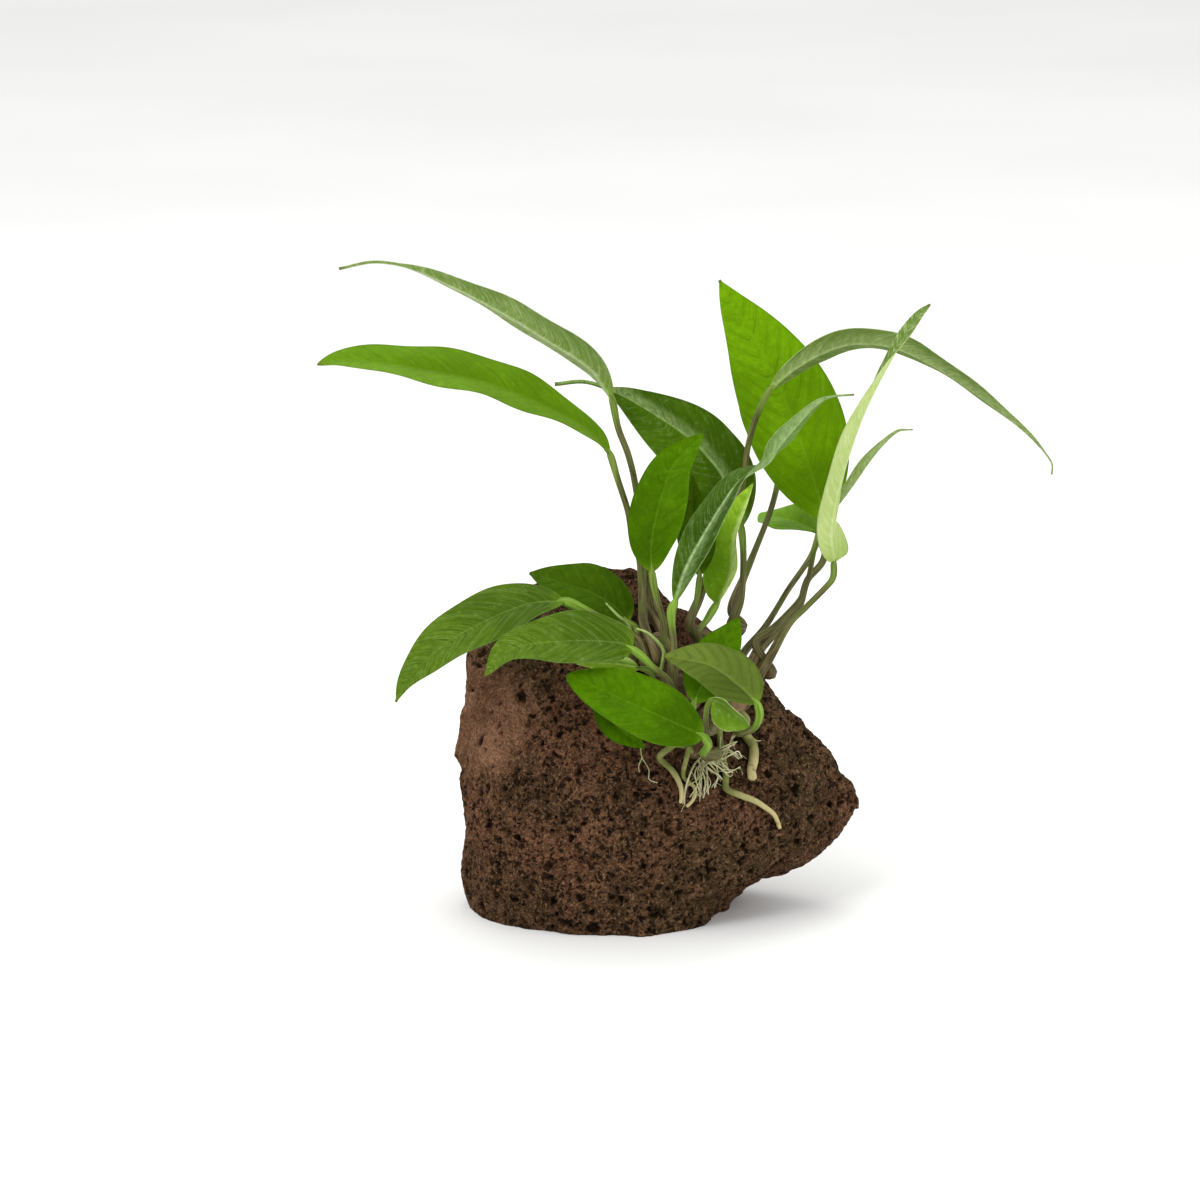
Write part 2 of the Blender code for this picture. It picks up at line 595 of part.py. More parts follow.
clear_scene()
plant = new_collection("anubias_on_stone")
guides = new_collection("guides")

stone_material = new_material("lava_stone", (0.075, 0.042, 0.032), 0.95)
creeper_material = new_material("creeper", (0.20, 0.13, 0.08), 0.7)
stalk_material = new_material("stalk", (0.16, 0.22, 0.05), 0.5)
blade_material = new_material("blade", (0.08, 0.24, 0.01), 0.45)
root_material = new_material("root", (0.55, 0.58, 0.33), 0.6)

stone = make_stone(stone_material)
thin_out(stone, STONE_TRIANGLES)
surface = surface_of(stone)
creepers = make_creepers(creeper_material)
for leaf_name, leaf in LEAVES.items():
    make_leaf(leaf_name, leaf, (stalk_material, blade_material))
for root_name, root in ROOTS.items():
    make_root(root_name, root, root_material)
make_fine_roots("fine_roots", root_material)
for shoot_name, shoot in SHOOTS.items():
    make_shoot(shoot_name, shoot, root_material)
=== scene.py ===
"""The looks of the anubias on its lava stone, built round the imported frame."""

import math
import random

import bpy
import numpy as np
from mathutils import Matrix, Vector, noise
from mathutils.bvhtree import BVHTree


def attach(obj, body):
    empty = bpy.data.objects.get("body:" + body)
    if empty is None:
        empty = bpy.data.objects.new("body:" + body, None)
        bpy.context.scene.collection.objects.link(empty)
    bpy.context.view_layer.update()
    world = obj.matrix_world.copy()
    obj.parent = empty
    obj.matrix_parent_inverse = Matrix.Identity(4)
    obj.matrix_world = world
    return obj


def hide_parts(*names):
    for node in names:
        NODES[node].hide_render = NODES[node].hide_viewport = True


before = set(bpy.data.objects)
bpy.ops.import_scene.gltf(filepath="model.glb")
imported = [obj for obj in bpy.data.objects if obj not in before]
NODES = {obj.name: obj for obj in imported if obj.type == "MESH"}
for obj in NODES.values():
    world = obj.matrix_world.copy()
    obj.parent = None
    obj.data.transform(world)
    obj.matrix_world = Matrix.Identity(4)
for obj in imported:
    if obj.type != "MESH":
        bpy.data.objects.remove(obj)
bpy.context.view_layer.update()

MM = 0.001
LEAN = math.radians(13.0)
FOOT_RISE = 8.6
GAP = 0.35
CREEPER_RADIUS = 3.9
SIGHT = Vector((0.0, math.cos(LEAN), -math.sin(LEAN)))

BLADE_STEP = 0.9
BLADE_HALF_COLUMNS = 15
BLADE_THICK = 0.52
BLADE_FEWEST_ROWS = 26
LEAST_HALF = 0.42
TIP_HALF = {"top_left": 0.85, "dark_centre": 0.65, "arching_right": 0.55}
FLARE_REACH = 0.13
RIB_HALF = 0.75
STEM_STEP = 0.4
STEM_SIDES = 44
STEM_RING_SPACING = 3.1
STALK_STEP = 0.8
STALK_SIDES = 18
STALK_FEWEST_RINGS = 18
STALK_FRAMES = 40
ELBOW_LENGTH = 10.0
ROOT_STEP = 0.5
ROOT_SIDES = 14
STRAND_RINGS = 34
STRAND_SIDES = 7
HAIR_RINGS = 7
HAIR_SIDES = 6
SHOOT_RINGS = 40
SHOOT_SIDES = 12
SHOOT_RADII = (0.62, 0.55, 0.5, 0.28)
STONE_VOXEL = 0.7
STONE_SEED = 11
STONE_SWELL = 0.55
STONE_GRAIN = 0.30


# -------- places and paths


def layout(across, up, depth):
    """A layout point (across, up, depth) as a world point in millimetres."""
    height = (up - FOOT_RISE - depth * math.sin(LEAN)) / math.cos(LEAN)
    return Vector((across, depth, height))


def laid(places):
    return [layout(*at) for at in places]


def smooth_path(points, count):
    """Points evenly spaced along a Catmull-Rom curve through the given ones."""
    ends = [points[0] * 2 - points[1], *points, points[-1] * 2 - points[-2]]
    dense = []
    for i in range(1, len(ends) - 2):
        a, b, c, d = ends[i - 1], ends[i], ends[i + 1], ends[i + 2]
        for step in range(24):
            t = step / 24
            square = (2 * a - 5 * b + 4 * c - d) * t**2
            cube = (3 * b - a - 3 * c + d) * t**3
            dense.append(0.5 * (2 * b + (c - a) * t + square + cube))
    dense.append(points[-1].copy())
    lengths = np.cumsum([0.0] + [(q - p).length for p, q in zip(dense, dense[1:])])
    path = []
    for target in np.linspace(0.0, lengths[-1], count):
        i = min(int(np.searchsorted(lengths, target, side="right")) - 1, len(dense) - 2)
        share = (target - lengths[i]) / max(lengths[i + 1] - lengths[i], 1e-9)
        path.append(dense[i].lerp(dense[i + 1], min(share, 1.0)))
    return path


def path_length(points):
    return sum((b - a).length for a, b in zip(points, points[1:]))


def heading(path, i):
    """The direction of a path at its point i."""
    return (path[min(i + 1, len(path) - 1)] - path[max(i - 1, 0)]).normalized()


def between(values, share):
    return float(np.interp(share, np.linspace(0.0, 1.0, len(values)), values))


def ease(low, high, value):
    """Smooth step from 0 at low to 1 at high."""
    t = np.clip((value - low) / (high - low), 0.0, 1.0)
    return t * t * (3 - 2 * t)


def node_surface(node):
    mesh = node.data
    points = [v.co / MM for v in mesh.vertices]
    return BVHTree.FromPolygons(points, [tuple(p.vertices) for p in mesh.polygons])


STONE_SURFACE = node_surface(NODES["lava_stone"])


def on_stone(across, up, lift):
    """The point of the stone at this place of the layout, raised along the stone's normal."""
    hit, normal, _, _ = STONE_SURFACE.ray_cast(layout(across, up, -150.0), SIGHT)
    if hit is None:
        hit, normal, _, _ = STONE_SURFACE.find_nearest(layout(across, up, 0.0))
    return hit + normal * lift


def clear_of_stone(path, radii, gap=GAP):
    for _ in range(6):
        for i, radius in enumerate(radii):
            near, normal, _, distance = STONE_SURFACE.find_nearest(path[i])
            height = math.copysign(distance, (path[i] - near).dot(normal))
            if height < radius + gap:
                path[i] = path[i] + normal * (radius + gap - height)
    return path


# -------- meshes


def new_object(name, verts, faces, attributes):
    """A smooth mesh object from points in millimetres, with point attributes."""
    mesh = bpy.data.meshes.new(name)
    mesh.from_pydata((np.asarray(verts, dtype=float) * MM).tolist(), [], faces)
    mesh.update()
    for key, values in attributes.items():
        values = np.asarray(values, dtype=np.float32)
        if values.ndim == 1:
            layer = mesh.attributes.new(key, "FLOAT", "POINT")
            layer.data.foreach_set("value", values)
        else:
            layer = mesh.attributes.new(key, "FLOAT_VECTOR", "POINT")
            layer.data.foreach_set("vector", values.ravel())
    mesh.shade_smooth()
    obj = bpy.data.objects.new(name, mesh)
    bpy.context.scene.collection.objects.link(obj)
    return obj


def place(obj, material, slot, *nodes):
    """The piece's material, its slot (not used), the CAD nodes that it stands for, and its body."""
    obj.data.materials.clear()
    obj.data.materials.append(material)
    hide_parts(*nodes)
    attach(obj, "root")
    return obj


def grid_faces(rows, columns, start=0, closed=True, flip=False):
    """Quads of a grid of points, row by row; closed joins each row's ends."""
    faces = []
    wrap = columns if closed else columns - 1
    for r in range(rows - 1):
        for c in range(wrap):
            a = start + r * columns + c
            b = start + r * columns + (c + 1) % columns
            quad = (a, b, b + columns, a + columns)
            faces.append(quad[::-1] if flip else quad)
    return faces


def tube(path, radii, sides, shape):
    """A closed tube with rounded ends: its points, its faces, and each point's share of the way along.

    shape(i, angle) scales the radius of ring i.
    """
    head = (path[0] - path[1]).normalized()
    tail = (path[-1] - path[-2]).normalized()
    first, last = radii[0], radii[-1]
    path = [path[0] + head * first * 0.6, path[0] + head * first * 0.35, *path]
    path += [path[-1] + tail * last * 0.35, path[-1] + tail * last * 0.6]
    radii = [first * 0.4, first * 0.8, *radii, last * 0.8, last * 0.4]
    count = len(path)
    tangents = [heading(path, i) for i in range(count)]
    guide = Vector((0.0, -1.0, 0.0))
    if abs(tangents[0].dot(guide)) > 0.9:
        guide = Vector((1.0, 0.0, 0.0))
    normal = (guide - tangents[0] * guide.dot(tangents[0])).normalized()
    points = []
    for i in range(count):
        normal = (normal - tangents[i] * normal.dot(tangents[i])).normalized()
        binormal = tangents[i].cross(normal)
        for k in range(sides):
            angle = 2 * math.pi * k / sides
            radius = radii[i] * shape(i, angle)
            point = path[i] + normal * (radius * math.cos(angle))
            points.append(point + binormal * (radius * math.sin(angle)))
    faces = grid_faces(count, sides)
    start, end = len(points), len(points) + 1
    points += [path[0], path[-1]]
    last_ring = (count - 1) * sides
    for k in range(sides):
        faces.append((start, (k + 1) % sides, k))
        faces.append((end, last_ring + k, last_ring + (k + 1) % sides))
    along = np.repeat(np.linspace(0.0, 1.0, count), sides)
    return points, faces, np.append(along, [0.0, 1.0])


def on_points(values, first, last, sides):
    """A value for each of a tube's rings, and for its rounded ends, as one for each of its points."""
    return np.append(np.repeat([first, first, *values, last, last], sides), [first, last])


def join_parts(parts):
    """One list of points, faces and attribute from several."""
    points, faces, values = [], [], []
    for part_points, part_faces, part_values in parts:
        base = len(points)
        points += part_points
        faces += [tuple(base + i for i in face) for face in part_faces]
        values.append(part_values)
    return points, faces, np.concatenate(values)


# -------- what grows where
# The same layout as the frame's. A look is the leaf's skin, its margin's ripple (mm), and a phase for its own
# markings. A stem is the creeper, the share of the way along it, and the side that the stalk leaves from.
# Ways (the stalks) and midribs are (across, up, depth), and rolls and folds are degrees.

CREEPERS = {
    "creeper_main": [(7.0, 55.5), (10.5, 60.5), (15.5, 66.5), (21.0, 71.5), (26.5, 76.5)],
    "creeper_left": [(9.0, 68.0), (5.0, 75.0), (0.0, 81.5), (-5.0, 87.0)],
    "creeper_middle": [(16.0, 76.0), (16.5, 82.0), (16.0, 88.0)],
}

LEAVES = {
    "top_left": dict(
        look=("pale", 0.35, 0.3), stem=("left", 0.97, (-0.2, 0.6, 1.0)), radius=1.1,
        way=[(-3.4, 100, -11.5), (-5, 118, -7.5), (-7.5, 135, -4), (-9.6, 144, -2), (-12.6, 152, -1)],
        midrib=[(-14.4, 160.8, 0), (-20.8, 169.8, 1), (-33, 177.8, 3), (-49, 187.6, 6), (-70, 198, 10),
            (-84, 201.3, 12), (-95.7, 199.4, 13)],
        width=14, rolls=[125, 122, 120, 115], fold=20, fullness=1.0, lead=0.62, drip=0.86,
    ),
    "mid_left": dict(
        look=("fresh", 0.5, 1.1), stem=("left", 0.83, (-0.2, -1.0, 0.7)), radius=1.1,
        way=[(-5.0, 93, -22), (-5.5, 100, -19), (-6.3, 112.5, -16), (-8.4, 118, -16), (-9.8, 127, -15),
            (-13, 137, -14)],
        midrib=[(-15, 144, -14), (-19, 149, -15), (-28, 154.8, -17), (-39.5, 160.2, -20),
            (-52, 164.6, -23), (-65, 167.2, -26), (-82, 169.8, -29), (-93, 170.4, -31), (-100, 169, -33)],
        width=22, rolls=[66, 56, 56, 58], fold=12, fullness=0.6, lead=1.0,
    ),
    "dark_centre": dict(
        look=("banded", 0.5, 2.3), stem=("middle", 0.9, (0.6, 0.0, 1.0)), radius=1.1,
        way=[(21, 93, -12), (24, 101, -8), (24.9, 112.8, -2)],
        midrib=[(24.3, 122.7, 2), (19.2, 137, 4), (14, 144, 5), (8.6, 149.5, 6), (-2, 156.6, 7),
            (-12, 162.2, 8), (-22, 165.9, 9), (-31.5, 165.3, 10)],
        width=24.5, rolls=[-5, -12, -15, 10], fold=24, fullness=0.9, drip=0.8,
    ),
    "bright_centre": dict(
        look=("deep", 0.4, 3.1), stem=("left", 0.66, (0.7, -0.7, 0.6)), radius=1.1,
        way=[(1.2, 89, -28), (0.8, 94, -28), (-1.5, 102, -28)],
        midrib=[(-2.7, 109, -27), (-3, 117, -26), (-1.8, 124, -25), (0, 131, -23), (3.6, 140.4, -20),
            (12.6, 150, -17)],
        width=16.5, rolls=[0, 0, -10], fold=12, fullness=0.85,
    ),
    "small_centre": dict(
        look=("dark", 0.3, 4.7), stem=("middle", 0.35, (-0.7, -0.3, 0.8)), radius=0.9,
        way=[(8.8, 92, -21.5), (10.6, 101, -20)],
        midrib=[(11.5, 108, -19), (10.5, 117, -17), (9.4, 127, -15), (9.4, 137.4, -13)],
        width=12, rolls=[15, 10, 0], fold=15, fullness=0.95,
    ),
    "twisted": dict(
        look=("striped", 0.35, 5.2), stem=("left", 0.42, (0.0, -1.0, 0.35)), radius=1.2,
        way=[(3.0, 82.2, -36), (3.6, 87.3, -35), (2.8, 96.6, -33)],
        midrib=[(3.8, 100, -32), (7.2, 109.8, -32), (11.4, 117.9, -31), (19.8, 131.7, -30),
            (24.3, 136.8, -29), (31.2, 141, -27), (34.8, 146.4, -26), (43.8, 156.5, -25),
            (49, 160, -24), (56.3, 160.8, -24)],
        width=14, rolls=[-35, -38, -45, -60, -92, -132, -138, -125], fold=16, fullness=0.95, drip=0.94,
    ),
    "lime": dict(
        look=("lime", 0.5, 6.1), stem=("middle", 0.1, (-0.6, -0.6, 0.3)), radius=1.0,
        way=[(11.1, 90.6, -23), (13.8, 95.2, -21)],
        midrib=[(16.4, 99.6, -19), (18.8, 104.4, -17.5), (20.6, 109.8, -16), (20.8, 114.5, -15),
            (21.2, 119.5, -14), (23, 125.5, -13), (25.6, 131.5, -12), (27.4, 135.5, -11)],
        width=18, rolls=[-50, -50, -48, -44], fold=34, fullness=0.9, lead=0.6,
    ),
    "broad": dict(
        look=("broad", 0.5, 7.4), stem=("main", 0.97, (0.3, 0.2, 1.0)), radius=1.2,
        way=[(30, 86.5, -6), (34, 91, -3), (38.1, 95.5, 0), (42, 99.3, 2), (44.4, 106.8, 5),
            (49.5, 113.4, 9)],
        midrib=[(50.2, 125, 14), (46.5, 137, 16), (42.9, 147.9, 18), (38, 160.8, 21), (30, 177, 25),
            (22, 190, 28), (18, 197.3, 30)],
        width=30, rolls=[0, 5, 10], fold=8, fullness=0.9,
    ),
    "broad_rear": dict(
        look=("dark", 0.5, 8.2), stem=("middle", 1.0, (0.4, 0.6, 1.0)), radius=1.0,
        way=[(21.6, 98, 0), (25.4, 107.7, 8), (29.6, 117.6, 15), (34.2, 129.3, 24)],
        midrib=[(37, 141, 31), (35, 152, 36), (32, 164, 42), (28, 174, 48), (24, 180, 55)],
        width=18, rolls=[0, 0, 0], fold=14, fullness=0.95,
    ),
    "low_rear": dict(
        look=("broad", 0.6, 9.9), stem=("main", 0.8, (0.4, 0.1, 1.0)), radius=1.0,
        way=[(24.5, 83.5, -2), (32, 93, 5), (39, 104, 13), (46, 114, 20)],
        midrib=[(48.5, 121.5, 24), (43, 124.2, 31), (37, 126.2, 39), (31.5, 127.6, 47)],
        width=20, rolls=[56, 56, 58], fold=10, fullness=0.8,
    ),
    "arching_right": dict(
        look=("arched", 0.3, 10.4), stem=("middle", 0.72, (-0.6, -0.2, 1.0)), radius=1.0,
        way=[(8.8, 93, -16), (11.4, 101, -12), (14.8, 110, -9), (20, 122.5, -5), (24.3, 135, -3),
            (26, 146.4, -2), (28.4, 155, -3)],
        midrib=[(32, 162.9, -4), (39, 169, -2), (48, 174.3, 2), (58, 177.4, 7), (70, 176.4, 12),
            (82, 171.2, 15), (94.5, 163.2, 16), (109.5, 151.8, 16), (117.5, 143, 15), (118, 138.6, 14)],
        width=13, rolls=[-150, -122, -108, -106, -105], fold=14, fullness=0.9, drip=0.96,
    ),
    "upright_right": dict(
        look=("silver", 0.3, 11.7), stem=("main", 0.9, (0.6, -0.6, 1.0)), radius=1.0,
        way=[(32.4, 83.4, -13), (38.1, 93.3, -11), (43.2, 98.4, -9), (49.5, 104.7, -7),
            (51.6, 107.7, -6)],
        midrib=[(51.6, 112, -6), (50.4, 120.6, -8), (51.9, 131.7, -10), (54.6, 141.3, -11),
            (59.1, 154.5, -12), (64.2, 165.3, -12), (70.2, 175.8, -11), (75.6, 183.9, -9),
            (79.2, 187.8, -8)],
        width=14, rolls=[-150, -124, -114, -112, -108, -100, -84, -58, -50], fold=16, fullness=0.6, flare=6,
    ),
    "narrow_right": dict(
        look=("arched", 0.25, 12.1), stem=("main", 1.0, (0.9, 0.3, 0.8)), radius=0.9,
        way=[(28.3, 87.9, -10), (33, 91.8, -8), (37.8, 96.4, -5.4), (42.2, 101.6, -3),
            (44.3, 107, -1.5), (45.4, 112, 0), (46.4, 117, 1)],
        midrib=[(48, 121.8, 2), (51, 127, 3), (54.9, 132, 4), (58.5, 136.8, 5), (62.1, 141.9, 6),
            (66.3, 147, 7), (71.1, 151.2, 8), (75.6, 151.8, 9)],
        width=10, rolls=[-100, -106, -106], fold=14, fullness=1.0,
    ),
    "drooping_left": dict(
        look=("ribbed", 0.5, 13.6), stem=("left", 0.72, (-0.9, -1.0, 0.3)), radius=1.2,
        way=[(-7, 89, -29), (-12.5, 92.5, -27), (-19.8, 96.6, -24)],
        midrib=[(-28.2, 100.6, -23), (-39, 99.6, -24), (-50.5, 95.2, -27), (-62, 88.9, -30),
            (-70, 82.3, -33), (-75, 76.8, -35), (-78, 70.8, -37)],
        width=21.5, rolls=[50, 46, 42, 38], fold=10, fullness=0.9,
    ),
    "shoulder_left": dict(
        look=("dark", 0.4, 14.2), stem=("left", 0.9, (-0.9, 0.3, 0.7)), radius=1.0,
        way=[(-7, 91.5, -20)],
        midrib=[(-9.5, 94.2, -19.5), (-14, 99, -18), (-20, 102.8, -15.5), (-27, 105.2, -13.5),
            (-33, 107.2, -11.5), (-39, 108.8, -9)],
        width=17, rolls=[20, 22, 30], fold=10, fullness=0.8,
    ),
    "level_left": dict(
        look=("ribbed", 0.5, 15.5), stem=("left", 0.12, (-0.6, -1.0, 0.1)), radius=1.1,
        way=[(2, 77, -41), (-2.5, 81, -41), (-5, 83.5, -40.5)],
        midrib=[(-8.4, 86.4, -40), (-13, 88.3, -41), (-27.6, 88.8, -44), (-43.8, 86.5, -47),
            (-51.6, 78.6, -49)],
        width=20, rolls=[40, 40, 42], fold=12, fullness=0.8, lead=0.62,
    ),
    "front": dict(
        look=("deep", 0.45, 16.8), stem=("main", 0.0, (1.0, -0.8, -0.6)), radius=1.1,
        way=[(12, 55.8, -47), (13.6, 58.4, -49)],
        midrib=[(12.3, 61.2, -51), (6.9, 63.6, -52), (-3.6, 68.4, -53), (-15.6, 73.8, -52),
            (-27.9, 78.9, -49)],
        width=20, rolls=[25, 28, 32], fold=10, fullness=0.65, lead=0.85,
    ),
    "olive": dict(
        look=("olive", 0.4, 17.3), stem=("main", 0.5, (0.4, -0.6, -0.8)), radius=1.1,
        way=[(23.5, 61.5, -36), (27.4, 63.2, -38), (28.9, 66.8, -39)],
        midrib=[(28.2, 70.5, -39), (25, 74, -40), (21.3, 77, -42), (18, 79.6, -43), (12.5, 82.4, -44),
            (0.6, 84.6, -44)],
        width=16.5, rolls=[158, 152, 148], fold=8, fullness=0.8,
    ),
    "spoon": dict(
        look=("cupped", 0.3, 18.9), stem=("main", 0.22, (0.3, -1.0, -0.3)), radius=0.9,
        way=[(13.4, 62, -44.5), (13, 67.5, -43.5), (13.8, 70.6, -45)],
        midrib=[(15, 72, -48), (18.5, 70, -49.5), (22, 67, -51), (25.6, 64, -52)],
        width=14, rolls=[50, 50, 50], fold=34, fullness=0.6,
    ),
    "behind_olive": dict(
        look=("deep", 0.4, 19.1), stem=("main", 0.15, (-0.2, -0.9, 0.5)), radius=1.0,
        way=[(8.6, 66.5, -41)],
        midrib=[(9.6, 70.6, -39), (12, 76, -35), (16, 84, -31), (20, 90, -28), (23.1, 95.7, -25)],
        width=15, rolls=[0, 5, 5], fold=12, fullness=0.85,
    ),
    "low_front": dict(
        look=("deep", 0.3, 20.6), stem=("main", 0.12, (-1.0, -0.5, 0.6)), radius=0.9,
        way=[(-2, 66, -42), (-9, 72.5, -43)],
        midrib=[(-15.5, 73.3, -44.5), (-16.6, 69.5, -46.5), (-13.5, 64.2, -48), (-9, 60.4, -48),
            (-4.8, 57.6, -48)],
        width=9, rolls=[-10, -10, -10], fold=12, fullness=0.8,
    ),
    "sliver": dict(
        look=("lime", 0.2, 21.4), stem=("left", 0.34, (-1.0, -0.4, 0.2)), radius=0.9,
        way=[(-3, 79.5, -32)],
        midrib=[(-6.5, 80.8, -33), (-14, 82, -34), (-25, 82.2, -34)],
        width=8, rolls=[45, 45, 45], fold=12, fullness=0.85,
    ),
}

# Each root's creeper, share and side, its radii, and its places (across, up) on the stone.
ROOTS = {
    "root_left": (
        "main", 0.05, (-0.9, -0.5, -0.2), (1.0, 1.0, 0.9, 0.5),
        [(-0.6, 54.4), (2.4, 51.0), (4.6, 48.0), (5.7, 44.4), (5.4, 41.4)],
    ),
    "root_short": (
        "main", 0.0, (-0.2, -0.9, -0.8), (0.8, 0.75, 0.6, 0.5),
        [(6.3, 48.5), (9.2, 45.3), (9.0, 42.5), (7.5, 40.2)],
    ),
    "root_long": (
        "main", 0.35, (0.0, -1.0, -0.7), (1.05, 1.05, 0.95, 0.6),
        [(16.6, 58.0), (18.0, 52.4), (19.2, 48.4), (19.2, 45.0), (20.4, 42.8), (22.8, 42.2), (26.0, 41.9),
         (30.6, 39.3), (33.2, 36.9), (34.8, 33.6)],
    ),
    "root_right": (
        "main", 0.6, (0.3, -1.0, -0.8), (1.2, 1.35, 1.5, 1.35),
        [(24.6, 59.8), (26.6, 57.0), (26.6, 53.0), (26.4, 50.0), (26.7, 47.2)],
    ),
}

# The fine roots' crown and places: (across, up, rise above the stone).
FINE_CROWN = (11.6, 53.6, 2.6)
FINE_ROOTS = [
    [(10.9, 50.0, 2.2), (10.6, 46.0, 1.4), (11.2, 42.5, 0.8)],
    [(12.5, 50.0, 2.5), (13.0, 46.0, 1.6), (13.4, 43.5, 0.8)],
    [(13.6, 51.0, 3.0), (15.4, 48.5, 2.2), (15.6, 45.0, 0.8)],
    [(14.2, 52.8, 4.0), (17.5, 51.5, 4.2), (21.3, 48.5, 2.4)],
    [(14.2, 54.2, 5.0), (18.0, 54.6, 4.8), (22.3, 53.0, 2.6)],
    [(13.4, 56.0, 5.2), (16.6, 57.4, 5.4), (20.0, 57.6, 4.6)],
]

SHOOTS = {
    "shoot_left": (
        "left", 1.0, (-1.0, -0.6, 0.4),
        [(-9.3, 92.6, -25), (-13, 96.5, -26.5), (-16.2, 99.8, -27)],
    ),
    "shoot_right": (
        "left", 0.56, (-0.4, -1.0, 0.2),
        [(0.4, 82.5, -34), (0.4, 86.6, -34), (-3.6, 90.9, -34), (-7.2, 92.4, -33)],
    ),
}

# Leaves whose stalk is bright green and swollen where it carries the blade.
LIME_ELBOWS = ("twisted", "lime", "front", "olive", "drooping_left", "level_left")


# -------- the blades


def blade_frames(leaf, count):
    """Points, and the across and top directions, down a blade's midrib."""
    path = smooth_path(laid(leaf["midrib"]), count)
    points, across, top = [], [], []
    for i, point in enumerate(path):
        along = heading(path, i)
        level = along.cross(SIGHT).normalized()
        face = along.cross(level).normalized()
        roll = math.radians(between(leaf["rolls"], i / (count - 1)))
        points.append(point)
        across.append(level * math.cos(roll) + face * math.sin(roll))
        top.append(face * math.cos(roll) - level * math.sin(roll))
    return np.array(points), np.array(across), np.array(top)


def make_blade(name, leaf, material):
    """A blade with its fold, its rippled margin, its creased veins and its midrib, thin at edge and tip."""
    _, ripple, phase = leaf["look"]
    length = path_length(smooth_path(laid(leaf["midrib"]), 60))
    rows = max(BLADE_FEWEST_ROWS, int(length / BLADE_STEP))
    points, across, top = blade_frames(leaf, rows)
    n = BLADE_HALF_COLUMNS
    steps = (np.arange(n + 1) / n) ** 1.6
    side = np.concatenate([-steps[:0:-1], steps])
    share = np.linspace(0.0, 1.0, rows)
    lead, drip = leaf.get("lead", 0.76), leaf.get("drip", 1.0)
    fill = np.sin(np.pi * np.minimum(share / drip, 1.0) ** lead) ** leaf["fullness"]
    widest = leaf["width"] / 2
    half = np.maximum(widest * fill, TIP_HALF.get(name, LEAST_HALF))
    s, v = np.meshgrid(side, share)
    lobe = leaf.get("flare", 0.0) * np.sqrt(np.clip(1.0 - (share / FLARE_REACH) ** 2, 0.0, 1.0))
    h = half[:, None] + np.where(s > 0, lobe[:, None], 0.0)
    x = s * h
    y = v * length
    fold = math.radians(leaf["fold"])
    soft = 0.10 * h + 0.3
    rise = math.sin(fold) * (np.sqrt(x * x + soft * soft) - soft)
    rise += 0.075 * h * np.sin(np.pi * np.abs(s)) * fill[:, None]
    turns = max(2.0, length / 26.0)
    wave = np.sin(2 * np.pi * (v * turns + phase) + np.where(s > 0, 1.9, 0.0))
    rise += ripple * np.abs(s) ** 2.6 * wave * fill[:, None]
    spacing = 1.7 + 0.33 * widest
    ax = np.abs(x)
    out = np.abs(s)
    vein = (y - 0.95 * ax - 0.055 * ax * ax) / spacing + np.where(s > 0, 0.37, 0.0) * ease(0.02, 0.2, out)
    near = np.abs((vein + 0.5) % 1.0 - 0.5)
    crease = np.exp(-((near / 0.11) ** 2)) * ease(0.03, 0.15, out) * (1 - ease(0.75, 1.0, out))
    thick = BLADE_THICK * (1 - 0.5 * s * s) * (1 - 0.45 * v)
    rib = np.exp(-((x / (RIB_HALF - 0.35 * v)) ** 2)) * (1 - v) ** 0.8
    upper = rise + thick / 2 - 0.24 * rib - 0.07 * crease
    lower = rise - thick / 2 - 0.62 * rib - 0.05 * crease
    lateral = x * math.cos(fold)
    base = points[:, None, :] + across[:, None, :] * lateral[..., None]
    above = (base + top[:, None, :] * upper[..., None]).reshape(-1, 3)
    below = (base + top[:, None, :] * lower[..., None]).reshape(-1, 3)
    columns = 2 * n + 1
    count = rows * columns
    faces = grid_faces(rows, columns, 0, closed=False, flip=True)
    faces += grid_faces(rows, columns, count, closed=False)
    for r in range(rows - 1):
        a, b = r * columns, (r + 1) * columns
        faces.append((a, b, count + b, count + a))
        a, b = a + columns - 1, b + columns - 1
        faces.append((b, a, count + a, count + b))
    last = (rows - 1) * columns
    for c in range(columns - 1):
        faces.append((c, count + c, count + c + 1, c + 1))
        faces.append((last + c + 1, count + last + c + 1, count + last + c, last + c))
    marks = np.stack([vein, out, v], axis=-1).reshape(-1, 3)
    sides = np.stack([x, np.zeros_like(x), h], axis=-1).reshape(-1, 3)
    sides_below = sides.copy()
    sides_below[:, 1] = 1.0
    obj = new_object(
        "leaf_" + name, np.concatenate([above, below]), faces,
        {"marks": np.concatenate([marks, marks]), "sides": np.concatenate([sides, sides_below])},
    )
    return place(obj, material, "blade", "blade_" + name)


# -------- the creeping stem, stalks and roots


def creeper_paths():
    """The creepers' axes, as the frame lays them on the stone."""
    paths = {}
    for name, places in CREEPERS.items():
        rough = [on_stone(x, up, CREEPER_RADIUS + GAP) for x, up in places]
        count = 4 * len(places) - 3
        swell = [CREEPER_RADIUS * (1.0 + 0.07 * (-1) ** i) for i in range(count)]
        swell[0] = swell[-1] = CREEPER_RADIUS * 0.7
        paths[name] = clear_of_stone(smooth_path(rough, count), swell)
    return paths


CREEPER_PATHS = creeper_paths()


def on_creeper(name, share, side):
    """The point on a creeper's skin where something leaves it on this side, and the way out."""
    path = CREEPER_PATHS["creeper_" + name]
    place_at = share * (len(path) - 1)
    i = min(int(place_at), len(path) - 2)
    axis = path[i].lerp(path[i + 1], place_at - i)
    along = (path[i + 1] - path[i]).normalized()
    out = Vector(side) - along * Vector(side).dot(along)
    out.normalize()
    return axis + out * (CREEPER_RADIUS * 1.07 + GAP), out


